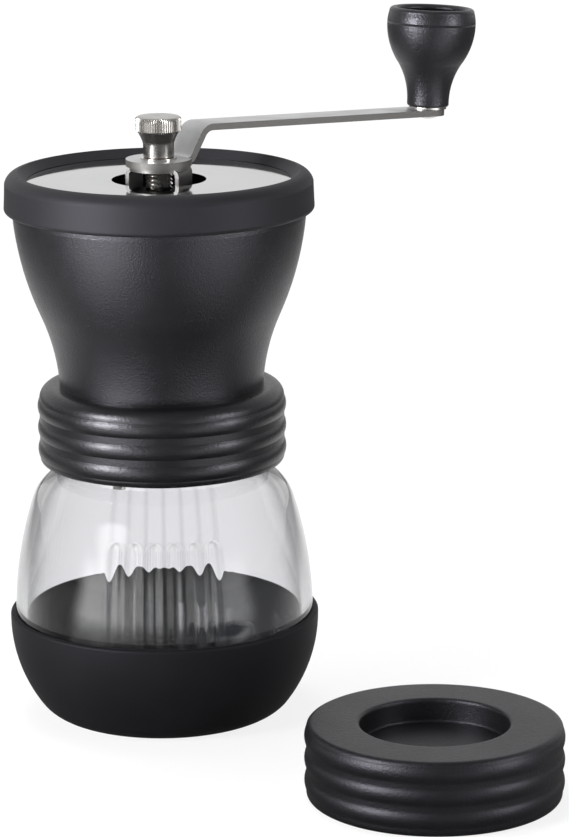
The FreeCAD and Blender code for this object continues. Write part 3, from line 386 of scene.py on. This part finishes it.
# Burrs: a toothed ring in the foot of the hopper and a toothed cone on the spindle.
# Unglazed white ceramic, pressed and fired, stained in its pores by ground coffee.

burr_ceramic = moulded("burr_ceramic", (0.8, 0.78, 0.73), (0.52, 0.43, 0.33),
                       grain=1300.0, roughness=0.5, spread=0.18, depth=0.02)
dress(burr_ceramic, "outer_burr", "inner_burr")


# Screws, washers, clip and adjusting nut: small turned and stamped steel pieces inside the mill.
# Bright stainless with fine lines round the axis from turning, duller in patches.

lines, given, end = new_effect(
    "steel_lines",
    [("Vector", "Vector"), ("Along", "Float"), ("Across", "Float"), ("Colour", "Color"),
     ("Dull Colour", "Color"), ("Roughness", "Float"), ("Spread", "Float")],
    [("Color", "Color"), ("Roughness", "Float"), ("Height", "Float")])
stretch = {0: given["Along"], 1: given["Across"], 2: given["Across"]}
stretch = add_node(lines, "CombineXYZ", stretch).outputs[0]
drawn = add_node(lines, "VectorMath", {0: given["Vector"], 1: stretch}, operation="MULTIPLY").outputs[0]
strokes = noise(lines, drawn, scale=1.0, detail=4.0, roughness=0.7)
patches = noise(lines, given["Vector"], scale=90.0, detail=4.0)
patches = ramp(lines, patches, low=0.4, high=0.75)
share = calc(lines, "MULTIPLY", strokes, patches)
tone = mix_colours(lines, share, given["Colour"], given["Dull Colour"])
lively = calc(lines, "ADD", strokes, patches)
around_zero = calc(lines, "SUBTRACT", lively, 0.9)
rough = calc(lines, "MULTIPLY_ADD", around_zero, given["Spread"], given["Roughness"], clamp=True)
lines.links.new(tone, end.inputs["Color"])
lines.links.new(rough, end.inputs["Roughness"])
lines.links.new(strokes, end.inputs["Height"])

TURN_LENGTH = 0.01
rounds, _, end = new_effect("round_the_axis", [], [("Vector", "Vector")])
spot = add_node(rounds, "TexCoord").outputs["Object"]
part = add_node(rounds, "SeparateXYZ", {0: spot}).outputs
flat = add_node(rounds, "CombineXYZ", {0: part[0], 1: part[1]}).outputs[0]
reach = add_node(rounds, "VectorMath", {0: flat}, operation="LENGTH").outputs["Value"]
swing = calc(rounds, "ARCTAN2", part[1], part[0])
swing = calc(rounds, "MULTIPLY", swing, TURN_LENGTH)
rolled = add_node(rounds, "CombineXYZ", {0: swing, 1: reach, 2: part[2]}).outputs[0]
rounds.links.new(rolled, end.inputs["Vector"])


def lined_steel(name, colour, dull_colour, along, across, roughness, spread, depth, turn=None):
    """Steel with fine lines, round the upright axis or drawn along a direction given in degrees."""
    material, tree, shader = new_finish(name, Metallic=1.0)
    if turn is None:
        spot = place_effect(tree, rounds)["Vector"]
    else:
        spot = add_node(tree, "TexCoord").outputs["Object"]
        spot = add_node(tree, "Mapping", {"Vector": spot, "Rotation": (0, 0, math.radians(-turn))}).outputs[0]
    surface = place_effect(tree, lines, Vector=spot, Along=along, Across=across, Colour=colour + (1.0,),
                           Dull_Colour=dull_colour + (1.0,), Roughness=roughness, Spread=spread)
    cover(tree, shader, surface, depth)
    return material


turned_steel = lined_steel("turned_steel", (0.62, 0.6, 0.57), (0.42, 0.41, 0.39),
                           along=60.0, across=5200.0, roughness=0.24, spread=0.14, depth=0.006)
dress(turned_steel, "bridge_screws", "retainer_screws", "thrust_washer", "adjusting_nut", "lower_washer",
      "spindle_clip")


# Burr spring: a coil of round steel wire between the spindle's shoulder and the bearing bridge.
# Wound cold with closed ends; the real spring shortens as the adjusting nut draws the spindle up, but this
# coil is rigid and moves with the spindle.

WIRE = 0.5 * MM
COIL = 5.6 * MM
COIL_TURNS = 7
COIL_STEPS = 36
WIRE_STEPS = 10
CLOSED_PITCH = 2.1 * WIRE
coil_foot, coil_top = [corner.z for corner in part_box("burr_spring")]
open_pitch = (coil_top - coil_foot - 2 * WIRE - 2 * CLOSED_PITCH) / (COIL_TURNS - 2)
points, faces = [], []
for step in range(COIL_TURNS * COIL_STEPS + 1):
    lap = step / COIL_STEPS
    closed_laps = min(lap, 1.0) + max(0.0, lap - COIL_TURNS + 1)
    height = coil_foot + WIRE + CLOSED_PITCH * closed_laps + open_pitch * (lap - closed_laps)
    turn = FULL_TURN * lap
    for corner in range(WIRE_STEPS):
        round_wire = FULL_TURN * corner / WIRE_STEPS
        reach = COIL + WIRE * math.cos(round_wire)
        points.append((reach * math.cos(turn), reach * math.sin(turn), height + WIRE * math.sin(round_wire)))
for step in range(COIL_TURNS * COIL_STEPS):
    for corner in range(WIRE_STEPS):
        here = step * WIRE_STEPS + corner
        there = step * WIRE_STEPS + (corner + 1) % WIRE_STEPS
        faces.append((here, here + WIRE_STEPS, there + WIRE_STEPS, there))
faces.append(tuple(range(WIRE_STEPS)))
faces.append(tuple(reversed(range(len(points) - WIRE_STEPS, len(points)))))
coil_mesh = bpy.data.meshes.new("coiled_burr_spring")
coil_mesh.from_pydata(points, [], faces)
coil_mesh.shade_smooth()
coil = bpy.data.objects.new("coiled_burr_spring", coil_mesh)
bpy.context.scene.collection.objects.link(coil)
coil_mesh.materials.append(turned_steel)
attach(coil, "spindle")
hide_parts("burr_spring")
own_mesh(coil)


# Spindle: a turned steel shaft through the whole mill, with a shoulder over the inner burr.
# Threads are rolled on for the adjusting nut and the top nut, and two flats are milled for the crank.

SHAFT = 4.0
TIP = 2.95
SPINDLE = [(0, 73.7), (2.7, 73.7), (3.0, 74.0), (3.0, 80.05), (2.5, 80.05), (2.5, 80.85), (SHAFT, 80.85)]
SPINDLE += [(SHAFT, 99.2), (6.2, 99.2), (6.5, 99.5), (6.5, 100.3), (6.2, 100.6), (SHAFT, 100.6)]
SPINDLE += [(SHAFT, 150.5)] + straight((SHAFT, 150.5), (SHAFT, 168.5), 144) + [(TIP, 168.5)]
SPINDLE += straight((TIP, 168.5), (TIP, 176.5), 80) + [(2.35, 177.1), (0, 177.1)]
SHAFT_THREAD = {"blank": SHAFT, "foot": 150.6, "top": 168.4, "pitch": 1.25, "depth": 0.5}
TIP_THREAD = {"blank": TIP, "foot": 168.8, "top": 176.4, "pitch": 1.0, "depth": 0.4}
CRANK_TURN = 37.0
FLAT_FOOT, FLAT_TOP = 157.5, 168.5
FLAT_HALF = 3.1
SHAFT_STEPS = 72


def roll_threads(radius, height, angle, row):
    """Sinks the two threads into the shaft and mills the flats that the crank sits on."""
    for thread in (SHAFT_THREAD, TIP_THREAD):
        if radius == thread["blank"] and thread["foot"] < height < thread["top"]:
            phase = (height / thread["pitch"] - angle / FULL_TURN) % 1.0
            radius -= thread["depth"] * (1.0 - abs(2.0 * phase - 1.0))
    aside = abs(math.sin(angle - math.radians(CRANK_TURN)))
    if FLAT_FOOT <= height <= FLAT_TOP and radius * aside > FLAT_HALF:
        radius = FLAT_HALF / aside
    return radius


shaft_angles = [FULL_TURN * step / SHAFT_STEPS for step in range(SHAFT_STEPS)]
shaft = turned_piece("threaded_spindle", SPINDLE, shaft_angles, roll_threads, sharp=28.0)
shaft.data.materials.append(turned_steel)
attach(shaft, "spindle")
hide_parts("spindle")


# Lid ring: a soft silicone rim that closes the hopper and grips the lid plate in a groove.
# Moulded in one piece, matte, with the faint bloom that silicone gets from handling.

rim_silicone = moulded("rim_silicone", (0.0115, 0.0115, 0.0129), (0.014, 0.014, 0.0154),
                       grain=2400.0, roughness=0.56, spread=0.1, depth=0.02,
                       Specular_IOR_Level=0.29, Specular_Tint=(0.88, 0.87, 1.0, 1.0))
dress(rim_silicone, "lid_rim")


# Lid plate: a thin round plate with a punched hole for the crank, snapped into the lid ring.
# Mirror-polished stainless sheet with hair-fine wiping lines.

plate_steel = lined_steel("plate_steel", (0.57, 0.57, 0.575), (0.5, 0.5, 0.5),
                          along=40.0, across=2600.0, roughness=0.06, spread=0.05, depth=0.0006)
dress(plate_steel, "lid_plate")


# Crank arm: a stamped strip with a round hub and a round eye, bent up and out over the lid.
# Stainless, brushed along its length, which runs back and to the right; its upright sheared edges are rougher
# and are coloured dark as painted shade.


def mix_values(tree, share, first, second):
    """The first value where share is 0 and the second where it is 1."""
    return add_node(tree, "Mix", {0: share, 2: first, 3: second}, data_type="FLOAT").outputs[0]


def reopened(material):
    """The node tree and the shader of a finish, for changes that only one piece needs."""
    return material.node_tree, material.node_tree.nodes["Principled BSDF"]


def fed_by(shader, label):
    """The socket that feeds an input of a shader so far."""
    return shader.inputs[label].links[0].from_socket


# Upright faces, the sheared edges, get a higher roughness and a dark colour that is painted shade.
SHEARED_EDGE_PAINTED_SHADE = (0.17, 0.165, 0.16, 1.0)
SHEARED_ROUGHNESS = 0.6
arm_steel = lined_steel("arm_steel", (0.6, 0.6, 0.605), (0.46, 0.46, 0.46),
                        along=45.0, across=5200.0, roughness=0.4, spread=0.14, depth=0.009, turn=CRANK_TURN)
tree, shader = reopened(arm_steel)
lean = add_node(tree, "TexCoord").outputs["Normal"]
lean = add_node(tree, "SeparateXYZ", {0: lean}).outputs["Z"]
lean = calc(tree, "ABSOLUTE", lean)
sheared_edge_and_shade = ramp(tree, lean, low=0.3, high=0.1)
tone = mix_colours(tree, sheared_edge_and_shade, fed_by(shader, "Base Color"), SHEARED_EDGE_PAINTED_SHADE)
rough = mix_values(tree, sheared_edge_and_shade, fed_by(shader, "Roughness"), SHEARED_ROUGHNESS)
tree.links.new(tone, shader.inputs["Base Color"])
tree.links.new(rough, shader.inputs["Roughness"])
dress(arm_steel, "crank_arm")


# Lock bracket: a bent strip under the crank hub, with two legs down beside the adjusting nut.
# Plain stainless, tumbled dull after bending, with round corners from the press; its colour is darkened all
# over as painted shade.

# The low colour of this steel is painted shade, for the shade under the crank hub.
bracket_steel_painted_shade = lined_steel("bracket_steel_painted_shade", (0.16, 0.157, 0.154), (0.12, 0.118, 0.116),
                            along=300.0, across=900.0, roughness=0.52, spread=0.1, depth=0.003)
dress(bracket_steel_painted_shade, "lock_bracket")


# Knob rivet and washers: the pin that the knob turns on, its washer and the washer under the top nut.
# Stamped and headed stainless, plain and bright.

rivet_steel = lined_steel("rivet_steel", (0.63, 0.61, 0.59), (0.45, 0.44, 0.42),
                          along=400.0, across=2400.0, roughness=0.2, spread=0.12, depth=0.004)
dress(rivet_steel, "knob_rivet", "knob_washer", "nut_washer")


# Knob: a hollow cup that flares from a narrow foot, open at the top, loose on its rivet.
# Black plastic with a fine matte grain and a thin seam line round its upper part.

KNOB_EYE = (0.083901, 0.063224, 0.173115)
KNOB_AXIS = (0.044581, 0.0335942, 0.9984408)
KNOB_SEAM = 26.6 * MM
SEAM_HALF = 0.35 * MM
SEAM_DEPTH = 0.25 * MM
knob_plastic = moulded("knob_plastic", (0.0095, 0.0095, 0.0103), (0.012, 0.012, 0.0129),
                       grain=1400.0, roughness=0.36, spread=0.16, depth=0.12,
                       Specular_IOR_Level=0.5, Specular_Tint=(0.89, 0.88, 1.0, 1.0))
tree, shader = reopened(knob_plastic)
spot = add_node(tree, "TexCoord").outputs["Object"]
spot = add_node(tree, "VectorMath", {0: spot, 1: KNOB_EYE}, operation="SUBTRACT").outputs[0]
along = add_node(tree, "VectorMath", {0: spot, 1: KNOB_AXIS}, operation="DOT_PRODUCT").outputs["Value"]
off = calc(tree, "SUBTRACT", along, KNOB_SEAM)
off = calc(tree, "ABSOLUTE", off)
seam = ramp(tree, off, high=SEAM_HALF)
seam = add_node(tree, "Bump", {"Height": seam, "Strength": 1.0, "Distance": SEAM_DEPTH,
                               "Normal": fed_by(shader, "Normal")}).outputs[0]
tree.links.new(seam, shader.inputs["Normal"])
dress(knob_plastic, "crank_knob")


# Top nut: a turned nut with a knurled head, a tapered neck and a plain stem, screwed on the spindle's tip.
# Stainless with turning lines, bright on the knurl, the top and the stem; the tapered neck is coloured dark
# as painted shade.

NUT_FOOT = 169.3
NUT = [(0, 9.3), (3.02, 9.3), (3.02, 0.3), (3.3, 0.0), (4.3, 0.0), (4.57, 0.25), (4.57, 4.0)]
NUT += bowed((4.57, 4.0), (6.2, 7.6), 12.0, -1, 6)
NUT += [(6.5, 7.8), (6.75, 8.0)] + straight((6.75, 8.0), (6.75, 11.55), 4)
NUT += [(6.4, 11.85), (6.2, 12.0), (5.9, 12.05), (3.0, 12.05), (0, 12.05)]
NUT = [(radius, NUT_FOOT + height) for radius, height in NUT]
KNURLS = 60
KNURL_STEPS = 6
KNURL_DEPTH = 0.42
KNURL_SLOPE = 1.15
KNURL_INNER = 6.45
KNURL_FOOT = NUT_FOOT + 7.75


def knurl(radius, height, angle, row):
    """Rolls upright grooves into the edge of the head."""
    if radius < KNURL_INNER or height < KNURL_FOOT:
        return radius
    phase = (angle * KNURLS / FULL_TURN) % 1.0
    return radius - KNURL_DEPTH * max(0.0, 1.0 - abs(2.0 * phase - 1.0) * KNURL_SLOPE)


nut_angles = [FULL_TURN * step / (KNURLS * KNURL_STEPS) for step in range(KNURLS * KNURL_STEPS)]
nut = turned_piece("knurled_top_nut", NUT, nut_angles, knurl, sharp=32.0)

# Painted shade: the tapered neck between stem and head gets a dark colour.
NUT_NECK_PAINTED_SHADE = (0.13, 0.125, 0.12, 1.0)
NUT_STEM_END, NUT_NECK_FULL = (NUT_FOOT + 4.0) * MM, (NUT_FOOT + 4.7) * MM
NUT_HEAD_START, NUT_NECK_END = (NUT_FOOT + 7.9) * MM, (NUT_FOOT + 7.7) * MM
nut_steel = lined_steel("nut_steel", (0.42, 0.405, 0.39), (0.32, 0.308, 0.296),
                        along=60.0, across=4200.0, roughness=0.28, spread=0.14, depth=0.006)
tree, shader = reopened(nut_steel)
spot = add_node(tree, "TexCoord").outputs["Object"]
height = add_node(tree, "SeparateXYZ", {0: spot}).outputs["Z"]
over_stem = ramp(tree, height, NUT_STEM_END, NUT_NECK_FULL)
under_head = ramp(tree, height, NUT_HEAD_START, NUT_NECK_END)
painted_neck_shade = calc(tree, "MULTIPLY", over_stem, under_head)
tone = mix_colours(tree, painted_neck_shade, fed_by(shader, "Base Color"), NUT_NECK_PAINTED_SHADE)
tree.links.new(tone, shader.inputs["Base Color"])
nut.data.materials.append(nut_steel)
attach(nut, "top_nut")
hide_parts("top_nut")


# Storage lid: a shallow screw lid for the jar, with three grip ribs and a sunk round field, standing apart.
# Black grained plastic like that of the collar, a little duller, with its edges softened in the shading.

EDGE_SOFTENING = 1.3 * MM
lid_plastic = moulded("lid_plastic", (0.0028, 0.0028, 0.0032), (0.004, 0.004, 0.0045),
                      grain=1500.0, roughness=0.42, spread=0.14, depth=0.1,
                      Specular_IOR_Level=0.4, Specular_Tint=(0.88, 0.87, 1.0, 1.0))
tree, shader = reopened(lid_plastic)
softened = add_node(tree, "Bevel", {"Radius": EDGE_SOFTENING}, samples=6).outputs[0]
tree.links.new(softened, fed_by(shader, "Normal").node.inputs["Normal"])
dress(lid_plastic, "storage_lid")


# Studio: a plain white floor that fades into a white surround, two soft boxes in front and one above.
# Mirrored and refracted, the surround is white behind the object and falls off to the sides and the front.
# The soft boxes also glow in the surround and on the floor, but only where they are mirrored.

BOX_SPANS = ((-0.45, -1.05, 3.4), (0.5, 1.05, 1.6))
BOX_EDGE = 0.26
boxes, given, end = new_effect("soft_box_glow", [("Vector", "Vector")], [("Glow", "Float")])
part = add_node(boxes, "SeparateXYZ", {0: given["Vector"]}).outputs
ahead = calc(boxes, "MULTIPLY", part["Y"], -1.0)
turn = calc(boxes, "ARCTAN2", part["X"], ahead)
glows = []
for inner, outer, level in BOX_SPANS:
    edge = math.copysign(BOX_EDGE, inner)
    near = ramp(boxes, turn, inner - edge, inner, to_high=level, shape="SMOOTHSTEP")
    ends = ramp(boxes, turn, outer + edge, outer, shape="SMOOTHSTEP")
    glows.append(calc(boxes, "MULTIPLY", near, ends))
boxes.links.new(calc(boxes, "ADD", *glows), end.inputs["Glow"])

FLOOR_HALF = 4.0
FLOOR_DROP = 0.3 * MM
FLOOR_TONE = (0.85, 0.85, 0.85, 1.0)
WHITE = (1.0, 1.0, 1.0, 1.0)
SEEN_LEVEL = 1.03
MIRROR_SHARE = 0.95
MIRRORED_DARK, REFRACTED_DARK = 0.1, 0.48
floor_mesh = bpy.data.meshes.new("studio_floor")
floor_corners = [(FLOOR_HALF * side, FLOOR_HALF * back, 0)
                 for side, back in ((-1, -1), (1, -1), (1, 1), (-1, 1))]
floor_mesh.from_pydata(floor_corners, [], [(0, 1, 2, 3)])
floor = bpy.data.objects.new("studio_floor", floor_mesh)
floor.location.z = -FLOOR_DROP
bpy.context.scene.collection.objects.link(floor)
floor_white = bpy.data.materials.new("floor_white")
floor_white.use_nodes = True
tree = floor_white.node_tree
tree.nodes.remove(tree.nodes["Principled BSDF"])
rays = add_node(tree, "LightPath").outputs
bent = calc(tree, "ADD", rays["Is Glossy Ray"], rays["Is Transmission Ray"], clamp=True)
spot = add_node(tree, "TexCoord").outputs["Object"]
place = add_node(tree, "SeparateXYZ", {0: spot}).outputs
far = add_node(tree, "VectorMath", {0: spot}, operation="LENGTH").outputs["Value"]
aside = calc(tree, "ABSOLUTE", place["X"])
narrow = ramp(tree, aside, low=0.24, high=0.02, shape="SMOOTHSTEP")
hazy = ramp(tree, place["Y"], low=0.4, high=0.9, to_low=1.0, to_high=0.6, shape="SMOOTHSTEP")
narrow = calc(tree, "MULTIPLY", narrow, hazy)
wide = ramp(tree, aside, low=0.42, high=0.14, shape="SMOOTHSTEP")
lit_width = mix_values(tree, rays["Is Transmission Ray"], wide, narrow)
lit_depth = ramp(tree, place["Y"], low=-0.06, high=0.12, shape="SMOOTHSTEP")
lit = calc(tree, "MULTIPLY", lit_width, lit_depth)
dark = ramp(tree, rays["Is Transmission Ray"], to_low=MIRRORED_DARK, to_high=REFRACTED_DARK)
fall = ramp(tree, lit, to_low=dark)
sheet = place_effect(tree, boxes, Vector=spot)["Glow"]
sheet_from = ramp(tree, far, low=0.12, high=0.36, shape="SMOOTHSTEP")
sheet = calc(tree, "MULTIPLY", sheet, sheet_from)
mirrored = calc(tree, "MULTIPLY_ADD", sheet, rays["Is Glossy Ray"], fall)
glow_level = mix_values(tree, bent, SEEN_LEVEL, mirrored)
far_share = ramp(tree, far, low=0.16, high=0.5, to_low=0.82)
straight_on = calc(tree, "MULTIPLY", rays["Is Camera Ray"], far_share)
mirror_share = calc(tree, "MULTIPLY", bent, MIRROR_SHARE)
share = calc(tree, "ADD", straight_on, mirror_share, clamp=True)
paper = add_node(tree, "BsdfDiffuse", {"Color": FLOOR_TONE}).outputs[0]
glow = add_node(tree, "Emission", {"Color": WHITE, "Strength": glow_level}).outputs[0]
mixed = add_node(tree, "MixShader", {0: share, 1: paper, 2: glow}).outputs[0]
tree.links.new(mixed, tree.nodes["Material Output"].inputs["Surface"])
floor.data.materials.append(floor_white)

KEY_WAY = Vector((-0.69, -0.66, 0.3)).normalized()
KEY_LEVEL = 2.6
FRONT_LEVEL, BACK_LEVEL = 0.36, 0.88
REFRACTED_SHARE = 0.65
FILL_LEVEL = 0.2
world = bpy.data.worlds.new("white_tent")
bpy.context.scene.world = world
world.use_nodes = True
tree = world.node_tree
tree.nodes.clear()
rays = add_node(tree, "LightPath").outputs
bent = calc(tree, "ADD", rays["Is Glossy Ray"], rays["Is Transmission Ray"], clamp=True)
way = add_node(tree, "TexCoord").outputs["Generated"]
part = add_node(tree, "SeparateXYZ", {0: way}).outputs
behind = ramp(tree, part["Y"], low=-0.1, high=0.75, to_low=FRONT_LEVEL, to_high=BACK_LEVEL,
              shape="SMOOTHSTEP")
dimmed = ramp(tree, rays["Is Transmission Ray"], to_low=1.0, to_high=REFRACTED_SHARE)
behind = calc(tree, "MULTIPLY", behind, dimmed)
near_key = add_node(tree, "VectorMath", {0: way, 1: KEY_WAY}, operation="DOT_PRODUCT").outputs["Value"]
key_glow = ramp(tree, near_key, low=0.95, high=1.0, to_high=KEY_LEVEL, shape="SMOOTHERSTEP")
box_top = ramp(tree, part["Z"], low=0.2, high=0.0, shape="SMOOTHSTEP")
box_glow = place_effect(tree, boxes, Vector=way)["Glow"]
box_glow = calc(tree, "MULTIPLY_ADD", box_glow, box_top, key_glow)
glossy_glow = calc(tree, "MULTIPLY_ADD", box_glow, rays["Is Glossy Ray"], behind)
mirrored = add_node(tree, "Background", {"Color": WHITE, "Strength": glossy_glow}).outputs[0]
lighting = add_node(tree, "Background", {"Color": WHITE, "Strength": FILL_LEVEL}).outputs[0]
white = add_node(tree, "Background", {"Color": WHITE, "Strength": 1.0}).outputs[0]
shine = add_node(tree, "MixShader", {0: bent, 1: lighting, 2: mirrored}).outputs[0]
sky = add_node(tree, "MixShader", {0: rays["Is Camera Ray"], 1: shine, 2: white}).outputs[0]
out = add_node(tree, "OutputWorld")
tree.links.new(sky, out.inputs["Surface"])

without_glass = bpy.data.collections.new("lit_without_glass")
without_glass.objects.link(jar)
without_glass.collection_objects[0].light_linking.link_state = "EXCLUDE"
LAMP_MIDDLE = (0.5, 0.5, 0.0)
LAMP_MIDDLE_LEVEL = 4.2


def soft_lamp(name, place, aim, width, height, power, mirrored=True):
    """A soft box that faces a point and fades towards its edges; it lights everything but the glass."""
    lamp = bpy.data.lights.new(name, "AREA")
    lamp.shape = "RECTANGLE"
    lamp.size = width
    lamp.size_y = height
    lamp.energy = power
    lamp.use_nodes = True
    tree = lamp.node_tree
    cell = add_node(tree, "NewGeometry").outputs["Parametric"]
    off = add_node(tree, "VectorMath", {0: cell, 1: LAMP_MIDDLE}, operation="SUBTRACT").outputs[0]
    off = add_node(tree, "VectorMath", {0: off}, operation="LENGTH").outputs["Value"]
    fade = ramp(tree, off, low=0.5, high=0.0, to_high=LAMP_MIDDLE_LEVEL, shape="SMOOTHSTEP")
    tree.links.new(fade, tree.nodes["Emission"].inputs["Strength"])
    box = bpy.data.objects.new(name, lamp)
    box.location = place
    box.visible_camera = False
    box.visible_glossy = mirrored
    box.light_linking.receiver_collection = without_glass
    box.rotation_euler = (Vector(aim) - Vector(place)).to_track_quat("-Z", "Y").to_euler()
    bpy.context.scene.collection.objects.link(box)


soft_lamp("left_soft_box", (-0.7, -0.5, 0.32), (0, 0, 0.14), width=0.5, height=0.5, power=11.5)
soft_lamp("right_soft_box", (0.82, -0.45, 0.3), (0, 0, 0.14), width=0.46, height=0.5, power=3.4)
soft_lamp("top_soft_box", (-0.15, 0.2, 1.25), (0, 0, 0.1), width=1.1, height=0.9, power=14.0, mirrored=False)

CAMERA_PLACE = (0.0, -1.08, 0.3497236)
CAMERA_YAW = 0.0339
CAMERA_PITCH = 0.2363
CAMERA_ROLL = -0.0057
FOCAL_PIXELS = 3708.5582
PICTURE_HEIGHT = 837
SENSOR = 36.0
camera_data = bpy.data.cameras.new("photo_camera")
camera_data.sensor_width = SENSOR
camera_data.lens = FOCAL_PIXELS / PICTURE_HEIGHT * SENSOR
camera = bpy.data.objects.new("photo_camera", camera_data)
camera.matrix_world = (Matrix.Translation(CAMERA_PLACE) @ Matrix.Rotation(-CAMERA_YAW, 4, "Z")
                       @ Matrix.Rotation(math.pi / 2 - CAMERA_PITCH, 4, "X")
                       @ Matrix.Rotation(CAMERA_ROLL, 4, "Z"))
bpy.context.scene.collection.objects.link(camera)
bpy.context.scene.camera = camera
bpy.context.scene.view_settings.view_transform = "Standard"
